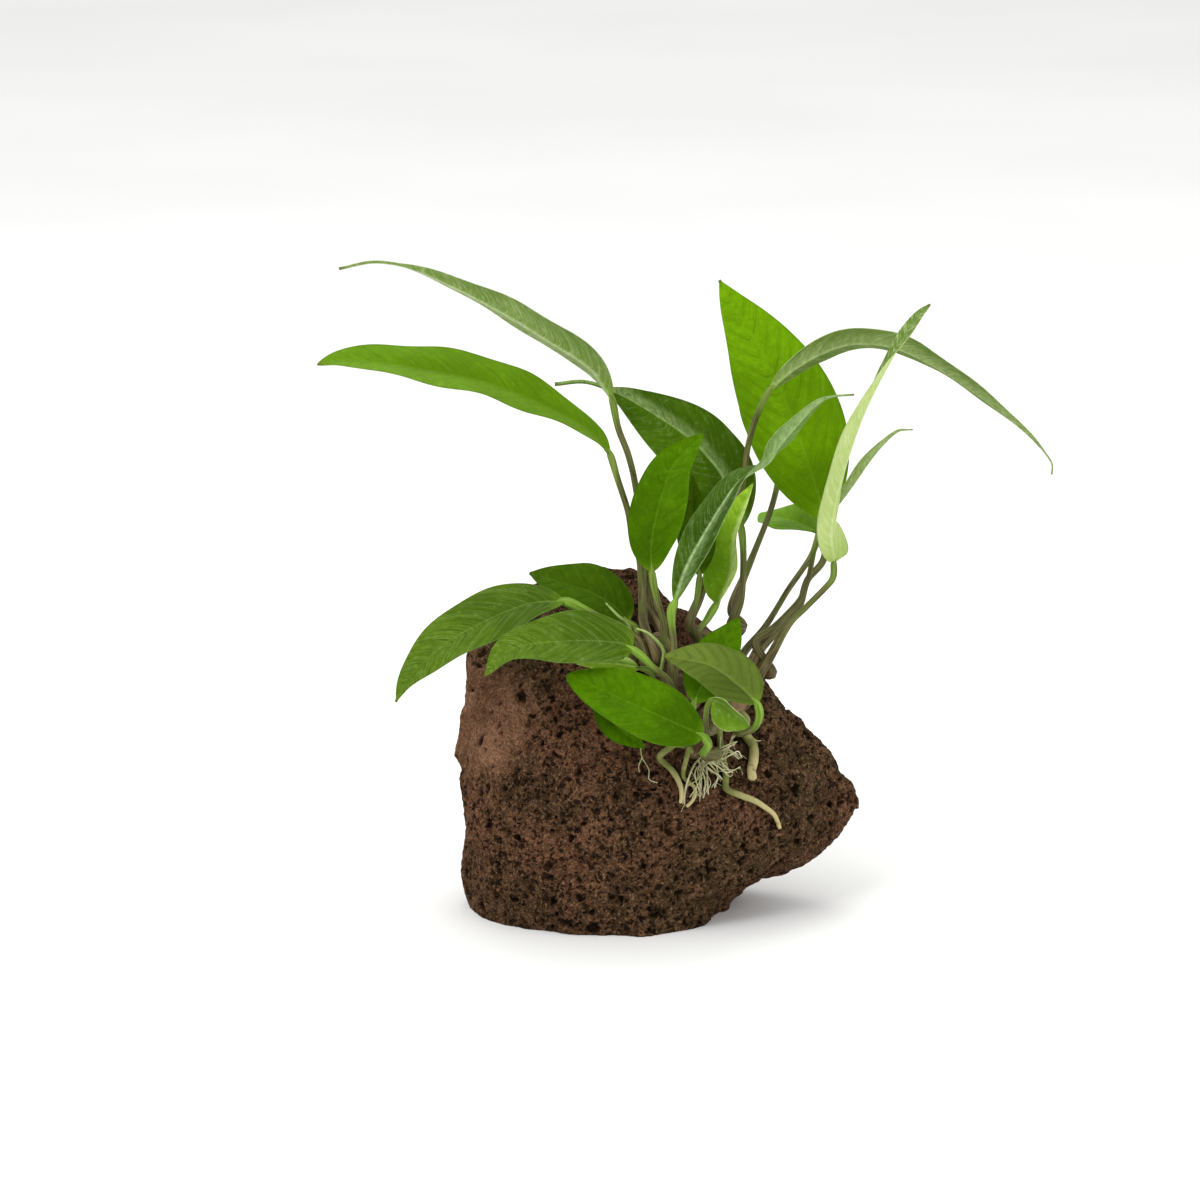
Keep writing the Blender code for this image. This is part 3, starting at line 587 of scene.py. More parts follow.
def make_creeper(name, material):
    """A knobbly stem with the rings that old leaves left, and worn sheath ends on it."""
    coarse = CREEPER_PATHS[name]
    length = path_length(coarse)
    count = int(length / STEM_STEP)
    path = smooth_path(coarse, count)
    seed = sum(ord(letter) for letter in name) % 17
    radii, rings = [], []
    for i in range(count):
        at = i * STEM_STEP
        ring = (at / STEM_RING_SPACING + 0.6 * math.sin(at * 0.9 + seed)) % 1.0
        ridge = math.exp(-(((ring - 0.5) / 0.12) ** 2))
        ends = min(1.0, 0.62 + 0.38 * min(at, length - at) / 3.0)
        radii.append(CREEPER_RADIUS * ends * (0.93 + 0.10 * ridge))
        rings.append(ridge)

    def knobs(i, angle):
        point = path[min(max(i - 2, 0), count - 1)]
        lump = noise.noise(Vector((point.x * 0.23, angle * 0.9 + seed, point.z * 0.23)))
        near = Vector((point.x * 0.9 + seed, math.cos(angle) * 3, math.sin(angle) * 3 + point.z * 0.9))
        grain = noise.noise(near)
        return 1.0 + 0.10 * lump + 0.045 * grain

    points, faces, _ = tube(path, radii, STEM_SIDES, knobs)
    obj = new_object("stem_" + name, points, faces, {"ring": on_points(rings, 0.0, 0.0, STEM_SIDES)})
    return place(obj, material, "creeper", name)


def make_stalk(name, leaf, material):
    """A stalk: sheathed at its foot, thickened and green where it carries the blade."""
    start, out = on_creeper(*leaf["stem"])
    points, _, top = blade_frames(leaf, STALK_FRAMES)
    base = Vector(points[0])
    blade_length = path_length(smooth_path(laid(leaf["midrib"]), STALK_FRAMES))
    way = [start - out * 1.2, start + out * 2.5, *laid(leaf["way"]), base - Vector(top[0]) * 0.15]
    tail = (Vector(points[2]) - base).normalized()
    way.append(base + tail * min(2.6, blade_length * 0.08) - Vector(top[1]) * 0.42)
    length = path_length(smooth_path(way, 80))
    count = max(STALK_FEWEST_RINGS, int(length / STALK_STEP))
    path = smooth_path(way, count)
    radius = leaf["radius"]
    elbow = min(ELBOW_LENGTH, length * 0.45)
    lime = name in LIME_ELBOWS
    sheath = 0.6 if length > 25.0 else 0.25
    radii, tone = [], []
    for i in range(count):
        at = length * i / (count - 1)
        left = length - at
        swell = (0.34 if lime else 0.16) * math.exp(-(((left - elbow * 0.5) / (elbow * 0.36)) ** 2))
        swell += sheath * (1.0 - float(ease(0.12, 0.6, at / length)))
        foot = 0.55 * math.exp(-((at / 4.5) ** 2))
        thin = float(ease(0.0, 3.6, left))
        radii.append(radius * (0.9 + swell + foot) * (0.42 + 0.58 * thin))
        tone.append((1.0 if lime else 0.55) * (1.0 - float(ease(elbow * 0.75, elbow * 1.35, left))))
    seed = leaf["look"][2]

    def channel(i, angle):
        groove = 0.14 * math.exp(-(((angle - math.pi) / 0.55) ** 2))
        return 1.0 - groove + 0.035 * noise.noise(Vector((i * 0.16, math.cos(angle) + seed, math.sin(angle))))

    mesh_points, faces, along = tube(path, radii, STALK_SIDES, channel)
    tones = on_points(tone, tone[0], tone[-1], STALK_SIDES)
    turn = np.tile(np.arange(STALK_SIDES) * 2 * np.pi / STALK_SIDES, len(along) // STALK_SIDES)
    turn = np.append(turn, [0.0, 0.0])
    grain = np.stack([np.cos(turn), np.sin(turn), along * length * 0.05 + seed], axis=-1)
    obj = new_object("petiole_" + name, mesh_points, faces, {"along": along, "tone": tones, "grain": grain})
    return place(obj, material, "stalk", "stalk_" + name)


def root_tube(path, radii, sides, seed):
    def wobble(i, angle):
        return 1.0 + 0.07 * noise.noise(Vector((i * 0.22 + seed, math.cos(angle), math.sin(angle))))

    return tube(path, radii, sides, wobble)


def make_root(name, root, material):
    """A thick root that hugs the stone."""
    creeper, share, side, radii, places = root
    start, out = on_creeper(creeper, share, side)
    rough = [start + out * 1.5] + [on_stone(x, up, radii[0] + GAP) for x, up in places]
    coarse_radii = [between(radii, i / 11) for i in range(12)]
    coarse = clear_of_stone([start, *smooth_path(rough, 11)], coarse_radii, 0.15)
    coarse[0] = start - out * 1.5
    count = int(path_length(coarse) / ROOT_STEP)
    path = smooth_path(coarse, count)
    sizes = [between(radii, i / (count - 1)) for i in range(count)]
    points, faces, along = root_tube(path, sizes, ROOT_SIDES, len(name))
    obj = new_object("thick_" + name, points, faces, {"along": along})
    return place(obj, material, "root", name)


# Further fine roots that spread from the crown: the radius, and places (across, up, rise above the stone).
SPRAY = [
    (0.26, [(13.8, 60.3, 6.0), (13.9, 56.4, 5.0), (12.6, 53.4, 3.0)]),
    (0.28, [(18.6, 60.3, 5.0), (19.3, 57.3, 4.4), (18.3, 53.6, 3.4)]),
    (0.22, [(20.7, 60.6, 4.6), (19.2, 57.6, 5.0), (15.6, 54.0, 4.4), (13.8, 52.8, 3.4)]),
    (0.34, [(11.1, 55.8, 5.2), (14.4, 54.4, 5.6), (18.6, 53.4, 5.2), (21.4, 54.0, 4.6), (22.6, 53.0, 4.0)]),
    (0.26, [(12.6, 51.6, 3.6), (15.4, 52.3, 4.6), (18.0, 53.2, 4.8)]),
    (0.30, [(13.2, 52.0, 3.6), (16.5, 50.5, 4.4), (18.9, 49.0, 4.2), (22.2, 49.5, 3.6)]),
    (0.20, [(17.7, 49.5, 4.2), (19.8, 48.0, 3.2), (21.4, 48.1, 2.4)]),
    (0.34, [(11.1, 52.4, 3.4), (12.9, 49.9, 3.4), (15.2, 48.2, 2.8), (17.2, 47.0, 1.8)]),
    (0.28, [(9.6, 55.2, 4.2), (9.9, 51.3, 3.2), (12.0, 46.8, 2.2), (12.3, 42.2, 0.8)]),
    (0.32, [(9.0, 54.3, 4.0), (7.8, 50.4, 2.8), (6.9, 45.4, 1.8), (6.3, 40.8, 0.7)]),
    (0.22, [(8.1, 53.0, 3.6), (7.4, 48.4, 2.2), (6.7, 43.6, 1.4), (6.9, 40.2, 0.6)]),
    (0.20, [(6.9, 45.3, 1.8), (8.6, 46.4, 2.4), (10.8, 48.2, 2.6)]),
    (0.24, [(10.4, 53.0, 3.6), (8.4, 49.0, 3.2), (9.6, 45.4, 2.2), (11.4, 43.4, 1.0)]),
    (0.22, [(12.0, 53.0, 4.2), (10.8, 50.0, 4.0), (10.2, 46.6, 2.6), (8.2, 42.8, 1.2)]),
    (0.20, [(-5.8, 57.2, 1.6), (-5.4, 53.7, 1.2), (-3.7, 50.6, 0.9), (-3.5, 47.8, 0.7), (-1.2, 46.7, 0.5)]),
    (0.17, [(-5.4, 53.9, 1.2), (-6.6, 51.6, 0.7), (-6.4, 49.9, 0.5)]),
    (0.18, [(21.9, 67.6, 3.4), (24.6, 68.4, 3.6), (26.4, 69.4, 3.4)]),
    (0.16, [(23.6, 68.0, 3.5), (24.2, 70.2, 3.4)]),
    (0.18, [(25.6, 59.6, 2.4), (28.2, 58.4, 1.8), (29.8, 58.6, 1.0)]),
]


def make_fine_roots(material):
    """A spray of thin pale roots with short side hairs."""
    dice = random.Random(41)
    centre = on_stone(*FINE_CROWN)
    parts = []

    def add_strand(way, thick, hairs):
        path = smooth_path(way, STRAND_RINGS)
        radii = [thick * (1.0 - 0.5 * i / len(path)) for i in range(len(path))]
        path = clear_of_stone(path, radii, 0.05)
        parts.append(root_tube(path, radii, STRAND_SIDES, dice.uniform(0, 9)))
        for _ in range(hairs):
            i = dice.randrange(6, len(path) - 1)
            away = Vector((dice.uniform(-1, 1), dice.uniform(-0.9, 0.0), dice.uniform(-1, 0.3))).normalized()
            bends = [path[i], path[i] + away * 1.2, path[i] + away * 2.2 + Vector((0, 0, -0.5))]
            hair = clear_of_stone(smooth_path(bends, HAIR_RINGS), [0.08] * HAIR_RINGS, 0.03)
            parts.append(root_tube(hair, [0.10 - 0.008 * k for k in range(HAIR_RINGS)], HAIR_SIDES, 0.0))

    for places in FINE_ROOTS:
        ends = [on_stone(*place_at) for place_at in places]
        for twin in range(3):
            spread = 0.15 if twin == 0 else 1.3
            way = [centre + Vector((dice.uniform(-0.9, 0.9), 0.0, dice.uniform(-0.9, 0.9)))]
            for end in ends:
                stray = Vector((dice.uniform(-1, 1), dice.uniform(-0.6, 0.3), dice.uniform(-1, 1)))
                way.append(end + spread * stray)
            add_strand(way, 0.30 if twin == 0 else dice.uniform(0.16, 0.24), 2)
    for thick, places in SPRAY:
        add_strand([on_stone(*place_at) for place_at in places], thick, 2 if thick > 0.21 else 0)
    points, faces, along = join_parts(parts)
    obj = new_object("fine_root_spray", points, faces, {"along": along})
    return place(obj, material, "root", "fine_roots")


def make_shoot(name, shoot, material):
    """A young pale shoot."""
    creeper, share, side, way = shoot
    start, out = on_creeper(creeper, share, side)
    path = smooth_path([start - out, start + out * 1.5, *laid(way)], SHOOT_RINGS)
    radii = [between(SHOOT_RADII, share) for share in np.arange(SHOOT_RINGS) / (SHOOT_RINGS - 1)]
    points, faces, along = root_tube(path, radii, SHOOT_SIDES, 0.0)
    obj = new_object("young_" + name, points, faces, {"along": along})
    return place(obj, material, "root", name)


# -------- the stone


# Gas bubbles: cells per mm, radius and depth in cells, the share of cells that hold one, and an offset.
PORES = [
    (0.14, 0.32, 0.28, 0.20, 3.1),
    (0.28, 0.38, 0.46, 0.46, 7.7),
    (0.50, 0.44, 0.56, 0.66, 12.3),
]


def make_stone(material):
    """Lava stone: the frame's stone remeshed, roughened and pitted with gas bubbles of three sizes."""
    noise.seed_set(STONE_SEED)
    source = NODES["lava_stone"]
    rough = bpy.data.objects.new("stone_cage", source.data.copy())
    bpy.context.scene.collection.objects.link(rough)
    blocks = rough.modifiers.new("blocks", "REMESH")
    blocks.mode = "VOXEL"
    blocks.voxel_size = (STONE_VOXEL * 1.0) * MM
    bpy.context.view_layer.update()
    mesh = bpy.data.meshes.new_from_object(rough.evaluated_get(bpy.context.evaluated_depsgraph_get()))
    bpy.data.objects.remove(rough, do_unlink=True)
    count = len(mesh.vertices)
    flat = np.empty(count * 3, dtype=np.float32)
    mesh.vertices.foreach_get("co", flat)
    at = flat.reshape(-1, 3).astype(float) / MM
    mesh.vertices.foreach_get("normal", flat)
    normal = flat.reshape(-1, 3).astype(float)
    smooth = stone_smoothness(at)
    lift = np.zeros(count)
    pit = np.zeros(count)
    for i in range(count):
        p = Vector(at[i])
        warp = p + noise.noise_vector(p * 0.11) * 2.4 + noise.noise_vector(p * 0.5) * 0.9
        lift[i] = STONE_SWELL * noise.fractal(p * 0.085, 0.8, 2.1, 4) * (1 - 0.55 * smooth[i])
        lift[i] += STONE_GRAIN * noise.noise(p * 0.75)
        deep = 0.0
        for scale, radius, depth, share, offset in PORES:
            near, cells = noise.voronoi(warp * scale + Vector((offset, offset, offset)))
            cell = cells[0]
            pick = (math.sin(cell.x * 12.98 + cell.y * 78.23 + cell.z * 37.72) * 43758.5) % 1.0
            keep_share = share * (1 - 0.75 * smooth[i])
            if pick < keep_share:
                size = radius * (0.5 + 0.7 * pick / keep_share)
                inside = 1.0 - near[0] / size
                if inside > 0:
                    deep = max(deep, depth * min(1.0, inside * 2.6) / scale)
        pit[i] = deep
    foot = ease(0.15, 1.6, at[:, 2])
    away = (lift - pit)[:, None] * normal * foot[:, None]
    moved = at + away
    moved[:, 2] = np.where(foot < 0.02, at[:, 2], np.maximum(moved[:, 2], 0.05))
    mesh.vertices.foreach_set("co", (moved * MM).astype(np.float32).ravel())
    # the pit depth is kept so that the skin can darken the pits as painted shade
    for key, values in (("pit", pit), ("smoothness", smooth)):
        mesh.attributes.new(key, "FLOAT", "POINT").data.foreach_set("value", values.astype(np.float32))
    mesh.update()
    mesh.shade_smooth()
    obj = bpy.data.objects.new("porous_stone", mesh)
    bpy.context.scene.collection.objects.link(obj)
    return place(obj, material, "lava_stone", "lava_stone")


def stone_smoothness(at):
    """The upper left of the front is a smoother, redder skin with few pores."""
    centre = np.array([-54.0, -16.0, 62.0])
    reach = np.array([24.0, 24.0, 20.0])
    far = np.sqrt((((at - centre) / reach) ** 2).sum(axis=1))
    return 1.0 - ease(0.55, 1.15, far)


# -------- materials


class Shader:
    """A small helper that lays out one Principled material. A plain colour is given as display values."""

    def __init__(self, name, specular):
        self.material = bpy.data.materials.new(name)
        self.material.use_nodes = True
        self.tree = self.material.node_tree
        self.shader = self.tree.nodes["Principled BSDF"]
        self.shader.inputs["Specular IOR Level"].default_value = specular

    def node(self, kind, inputs=None, **settings):
        node = self.tree.nodes.new(kind)
        for key, value in settings.items():
            setattr(node, key, value)
        for key, value in (inputs or {}).items():
            self.feed(node.inputs[key], value)
        return node

    def feed(self, socket, value):
        if hasattr(value, "is_output"):
            self.tree.links.new(value, socket)
        else:
            socket.default_value = value

    def math(self, operation, *values):
        return self.node("ShaderNodeMath", dict(enumerate(values)), operation=operation).outputs[0]

    def times(self, value, factor):
        return self.math("MULTIPLY", value, factor)

    def scaled(self, value, factor, offset):
        return self.math("MULTIPLY_ADD", value, factor, offset)

    def ramp(self, value, low, high, first=0.0, last=1.0):
        """A smooth step that goes from first to last while the value goes from low to high."""
        inputs = {"Value": value, "From Min": low, "From Max": high, "To Min": first, "To Max": last}
        return self.node("ShaderNodeMapRange", inputs, interpolation_type="SMOOTHSTEP").outputs[0]

    def mix(self, share, a, b):
        a, b = (rgb(*color) if isinstance(color, tuple) else color for color in (a, b))
        return self.node("ShaderNodeMix", {0: share, 6: a, 7: b}, data_type="RGBA").outputs[2]

    def tint(self, color, other, value, low, high, first, last):
        """The colour with a share of another, which goes from first to last while the value rises."""
        return self.mix(self.ramp(value, low, high, first, last), color, other)

    def position(self):
        return self.node("ShaderNodeTexCoord").outputs["Object"]

    def noise(self, scale, detail=3.0, rough=0.5, vector=None, distortion=0.0):
        inputs = {"Vector": vector or self.position(), "Scale": scale, "Detail": detail, "Roughness": rough}
        return self.node("ShaderNodeTexNoise", {**inputs, "Distortion": distortion}).outputs[0]

    def cells(self, scale, vector=None):
        inputs = {"Vector": vector or self.position(), "Scale": scale}
        return self.node("ShaderNodeTexVoronoi", inputs).outputs

    def plane(self, x, y):
        return self.node("ShaderNodeCombineXYZ", {0: x, 1: y}).outputs[0]

    def split(self, vector):
        return self.node("ShaderNodeSeparateXYZ", {0: vector}).outputs

    def value(self, name):
        return self.node("ShaderNodeAttribute", attribute_name=name).outputs["Fac"]

    def vector(self, name):
        return self.node("ShaderNodeAttribute", attribute_name=name).outputs["Vector"]

    def bump(self, height, strength, distance):
        inputs = {"Height": height, "Strength": strength, "Distance": distance}
        return self.node("ShaderNodeBump", inputs).outputs[0]

    def soften(self, weight, scale):
        """Light that passes a little way under the skin."""
        self.shader.inputs["Subsurface Weight"].default_value = weight
        self.shader.inputs["Subsurface Scale"].default_value = scale

    def finish(self, color, roughness, normal=None):
        self.feed(self.shader.inputs["Base Color"], color)
        self.feed(self.shader.inputs["Roughness"], roughness)
        if normal:
            self.feed(self.shader.inputs["Normal"], normal)
        return self.material


def rgb(red, green, blue):
    """A display colour, 0 to 255, as the linear colour that shaders take."""
    def linear(value):
        value /= 255
        return value / 12.92 if value <= 0.04045 else ((value + 0.055) / 1.055) ** 2.4
    return (linear(red), linear(green), linear(blue), 1.0)


# Leaf skins: the upper side and its darker mottle, the underside and its mottle, the veins, the midrib; then
# how strong the veins, the fine veins, the midrib, the pale streaks and the pale edge are; last, the band
# beside the midrib and the painted sheen on one half, each negative where it lies on the blade's other side.
LEAF_SKINS = {
    "fresh": ((88, 127, 2), (74, 110, 2), (106, 132, 48), (92, 118, 36), (60, 92, 0), (116, 150, 50),
        0.22, 0.55, 0.22, 0.03, 0.15, 0.0, 0.26),
    "broad": ((106, 152, 4), (84, 124, 2), (106, 132, 48), (92, 118, 36), (62, 94, 0), (124, 160, 50),
        0.34, 0.45, 0.22, 0.03, 0.15, 0.0, 0.0),
    "deep": ((72, 113, 0), (54, 88, 0), (98, 126, 44), (84, 112, 32), (44, 78, 0), (104, 142, 34),
        0.20, 0.50, 0.28, 0.02, 0.25, 0.0, 0.0),
    "dark": ((60, 89, 2), (46, 73, 0), (92, 116, 44), (78, 100, 30), (38, 60, 0), (98, 126, 42),
        0.28, 0.55, 0.26, 0.05, 0.30, 0.0, 0.0),
    "banded": ((72, 104, 8), (54, 83, 2), (96, 120, 46), (80, 104, 32), (44, 72, 0), (146, 170, 104),
        0.26, 0.50, 0.80, 0.05, 0.40, -0.95, 0.0),
    "ribbed": ((82, 110, 20), (60, 86, 8), (100, 122, 50), (84, 106, 38), (42, 64, 2), (128, 150, 82),
        0.26, 0.95, 0.30, 0.22, 0.35, 0.0, 0.0),
    "striped": ((62, 90, 12), (44, 70, 4), (110, 140, 70), (88, 118, 48), (34, 56, 2), (156, 180, 124),
        0.26, 0.60, 0.95, 0.14, 0.50, -0.65, 0.0),
    "lime": ((150, 188, 46), (108, 150, 18), (150, 182, 66), (124, 158, 44), (82, 124, 6), (222, 244, 150),
        0.26, 0.32, 0.40, 0.04, 0.50, 0.0, -0.92),
    "pale": ((104, 128, 58), (84, 108, 40), (118, 142, 72), (100, 126, 54), (84, 108, 40), (196, 208, 162),
        0.26, 0.65, 0.45, 0.24, 0.35, -0.80, -0.25),
    "arched": ((104, 130, 48), (86, 112, 34), (114, 138, 66), (94, 118, 46), (78, 102, 36), (172, 190, 132),
        0.26, 0.60, 0.45, 0.34, 0.45, -0.50, 0.0),
    "silver": ((84, 112, 34), (66, 94, 22), (184, 202, 130), (168, 188, 112), (142, 164, 88), (212, 224, 170),
        0.18, 0.50, 0.35, 0.40, 0.30, 0.0, 0.0),
    "olive": ((70, 102, 16), (56, 84, 10), (108, 126, 52), (92, 112, 40), (54, 72, 18), (120, 138, 70),
        0.46, 0.40, 0.40, 0.04, 0.30, 0.0, 0.0),
    "cupped": ((112, 144, 42), (92, 126, 26), (112, 138, 62), (94, 120, 46), (66, 98, 12), (196, 206, 164),
        0.20, 0.22, 0.22, 0.0, 0.60, 0.0, 0.0),
}
TOP_GLOSS = 0.46
UNDERSIDE_ROUGHER = 0.16


def blade_material(name, top, deep, under, under_deep, vein, rib, *strengths):
    """Leaf skin, driven by each blade's own vein lines and sides."""
    veins_on, fine_on, rib_on, streaks_on, edge_on, band_on, sheen_half_on = strengths
    m = Shader(name, specular=0.05)
    m.shader.inputs["Specular Tint"].default_value = (0.75, 1.0, 0.35, 1.0)
    veins, across, along = m.split(m.vector("marks"))
    offset, below, _ = m.split(m.vector("sides"))
    mottle = m.math("ADD", m.noise(60.0, 4.0, 0.6), m.scaled(along, 0.32, -0.16))
    shade = m.mix(below, deep, under_deep)
    color = m.mix(m.ramp(mottle, 0.34, 0.66), shade, m.mix(below, top, under))
    # side veins at each whole number of the vein coordinate, in soft bands of their own colour
    lane = m.math("ADD", veins, m.scaled(m.noise(150.0, 2.0), 0.30, -0.15))
    wave = m.math("PINGPONG", lane, 0.5)
    inner = m.times(m.ramp(across, 0.02, 0.10), m.ramp(across, 0.80, 1.0, 1.0, 0.0))
    lines = m.times(m.ramp(wave, 0.0, 0.06, 1.0, 0.0), inner)
    soft = m.times(m.ramp(wave, 0.0, 0.40, 1.0, 0.0), inner)
    color = m.mix(m.times(soft, veins_on * 0.5), color, vein)
    color = m.mix(m.times(lines, veins_on), color, vein)
    # fine threads, dark and pale, and broader streaks that run with the veins
    threads = m.noise(1.0, 3.0, 0.6, vector=m.plane(m.times(veins, 9.0), m.times(across, 1.6)))
    color = m.tint(color, vein, threads, 0.34, 0.50, fine_on * 0.75, 0.0)
    color = m.tint(color, rib, threads, 0.52, 0.72, 0.0, fine_on * 0.45)
    streaks = m.noise(1.3, 4.0, 0.65, vector=m.plane(m.times(veins, 3.1), m.times(across, 0.5)))
    color = m.mix(m.times(m.ramp(streaks, 0.46, 0.66), streaks_on), color, rib)
    # painted sheen: one half of the blade beside the fold is lightened, as glancing light would
    if sheen_half_on:
        paler = m.ramp(m.times(offset, math.copysign(1.0, sheen_half_on)), 0.2, 2.6, 0.0, abs(sheen_half_on))
        color = m.mix(m.times(paler, m.ramp(threads, 0.30, 0.62, 0.55, 1.0)), color, rib)
    if band_on:
        sided = m.times(offset, math.copysign(1.0, band_on))
        beside = m.times(m.ramp(sided, -0.3, 0.1), m.ramp(sided, 0.8, 4.8, abs(band_on), 0.0))
        beside = m.times(beside, m.ramp(along, 0.1, 0.6, 0.6, 1.0))
        color = m.mix(m.times(beside, m.ramp(threads, 0.30, 0.62, 0.45, 1.0)), color, rib)
    # the midrib, wider at the base and on the lower side
    width = m.scaled(m.math("SUBTRACT", 1.0, along), 0.40, 0.10)
    width = m.times(width, m.scaled(below, 0.5, 0.8 + rib_on))
    reach = m.math("DIVIDE", m.math("ABSOLUTE", offset), width)
    fading = m.ramp(along, 0.35, 1.0, rib_on, rib_on * 0.5)
    color = m.mix(m.times(m.ramp(reach, 0.25, 1.1, 1.0, 0.0), fading), color, rib)
    # a paler edge, a yellower base, a dry tip, a fine grain and scattered pale dots
    color = m.tint(color, rib, across, 0.955, 1.0, 0.0, edge_on)
    color = m.tint(color, (112, 146, 30), along, 0.0, 0.09, 0.45, 0.0)
    color = m.tint(color, (84, 76, 44), along, 0.975, 1.0, 0.0, 0.7)
    grain = m.noise(560.0, 4.0, 0.7)
    color = m.tint(color, shade, grain, 0.32, 0.60, 0.50, 0.0)
    color = m.tint(color, rib, grain, 0.56, 0.72, 0.0, 0.20)
    dots = m.ramp(m.cells(1000.0)["Distance"], 0.0, 0.16, 0.30, 0.0)
    color = m.mix(m.times(dots, m.ramp(m.noise(80.0), 0.50, 0.64)), color, rib)
    rough = m.ramp(grain, 0.3, 0.7, TOP_GLOSS - 0.05, TOP_GLOSS + 0.09)
    rough = m.math("ADD", rough, m.times(below, UNDERSIDE_ROUGHER))
    height = m.scaled(soft, -0.45, m.times(threads, 0.55))
    height = m.math("ADD", height, m.times(m.noise(1500.0, 2.0), 0.30))
    m.soften(0.08, 0.0008)
    m.shader.inputs["Subsurface Radius"].default_value = (0.5, 1.0, 0.05)
    return m.finish(color, rough, m.bump(height, 0.55, 0.0003))


def stalk_material():
    """Olive-brown ridged stalks, greener at the elbow that carries the blade and ruddy at the foot."""
    m = Shader("stalk_skin", specular=0.15)
    along, tone = m.value("along"), m.value("tone")
    patch = m.noise(150.0, 3.0, 0.6)
    ridge = m.noise(2.6, 3.0, 0.6, vector=m.vector("grain"))
    color = m.mix(m.ramp(ridge, 0.38, 0.64), (64, 62, 26), (108, 106, 62))
    color = m.tint(color, (88, 102, 40), patch, 0.46, 0.66, 0.0, 0.6)
    foot = m.mix(m.ramp(ridge, 0.36, 0.66), (58, 42, 26), (116, 98, 68))
    color = m.tint(color, foot, along, 0.04, 0.42, 0.85, 0.0)
    green = m.mix(m.ramp(ridge, 0.32, 0.68), (88, 124, 22), (132, 164, 62))
    color = m.mix(m.times(tone, 0.95), color, green)
    color = m.tint(color, (136, 140, 96), m.cells(1300.0)["Distance"], 0.05, 0.22, 0.40, 0.0)
    height = m.scaled(ridge, 1.0, m.times(m.noise(1100.0, 3.0), 0.25))
    return m.finish(color, m.ramp(patch, 0.3, 0.7, 0.40, 0.56), m.bump(height, 0.45, 0.0004))


def creeper_material():
    """Pinkish brown bark with green showing between the old leaf rings."""
    m = Shader("stem_skin", specular=0.12)
    patch = m.noise(120.0, 4.0, 0.6)
    color = m.mix(m.ramp(patch, 0.38, 0.62), (76, 58, 38), (124, 98, 70))
    color = m.tint(color, (62, 76, 26), m.noise(75.0, 2.0), 0.52, 0.66, 0.0, 0.75)
    color = m.tint(color, (48, 34, 24), m.value("ring"), 0.35, 1.0, 0.0, 0.8)
    color = m.tint(color, (168, 144, 108), m.noise(640.0, 3.0), 0.5, 0.72, 0.0, 0.5)
    bump = m.bump(m.noise(500.0, 4.0, 0.65), 0.7, 0.0004)
    return m.finish(color, m.ramp(patch, 0.3, 0.7, 0.5, 0.72), bump)


def root_material(name, start, middle, tip, stain):
    """Roots: two colours at the stem, another at the growing tip, and stained patches."""
    m = Shader(name, specular=0.2)
    patch = m.noise(240.0, 3.0, 0.6)
    color = m.mix(m.ramp(patch, 0.35, 0.66), start, middle)
    color = m.tint(color, tip, m.value("along"), 0.45, 0.9, 0.0, 0.9)
    color = m.tint(color, stain, m.noise(420.0, 3.0), 0.55, 0.75, 0.0, 0.7)
    m.soften(0.12, 0.0007)
    return m.finish(color, m.ramp(patch, 0.3, 0.7, 0.42, 0.58), m.bump(m.noise(900.0, 3.0), 0.4, 0.0003))


SKIN_PORES = ((210.0, 0.26), (410.0, 0.38), (720.0, 0.48))


def stone_pores(m, at, scale, spread):
    """Gas bubbles of random sizes: 1 inside them, 0 on the skin between."""
    cells = m.cells(scale, vector=at)
    size = m.ramp(m.split(cells["Color"])[0], 0.2, 1.0, 0.0, spread)
    gap = m.math("SUBTRACT", cells["Distance"], size)
    return m.ramp(gap, -0.08, 0.03, 1.0, 0.0)


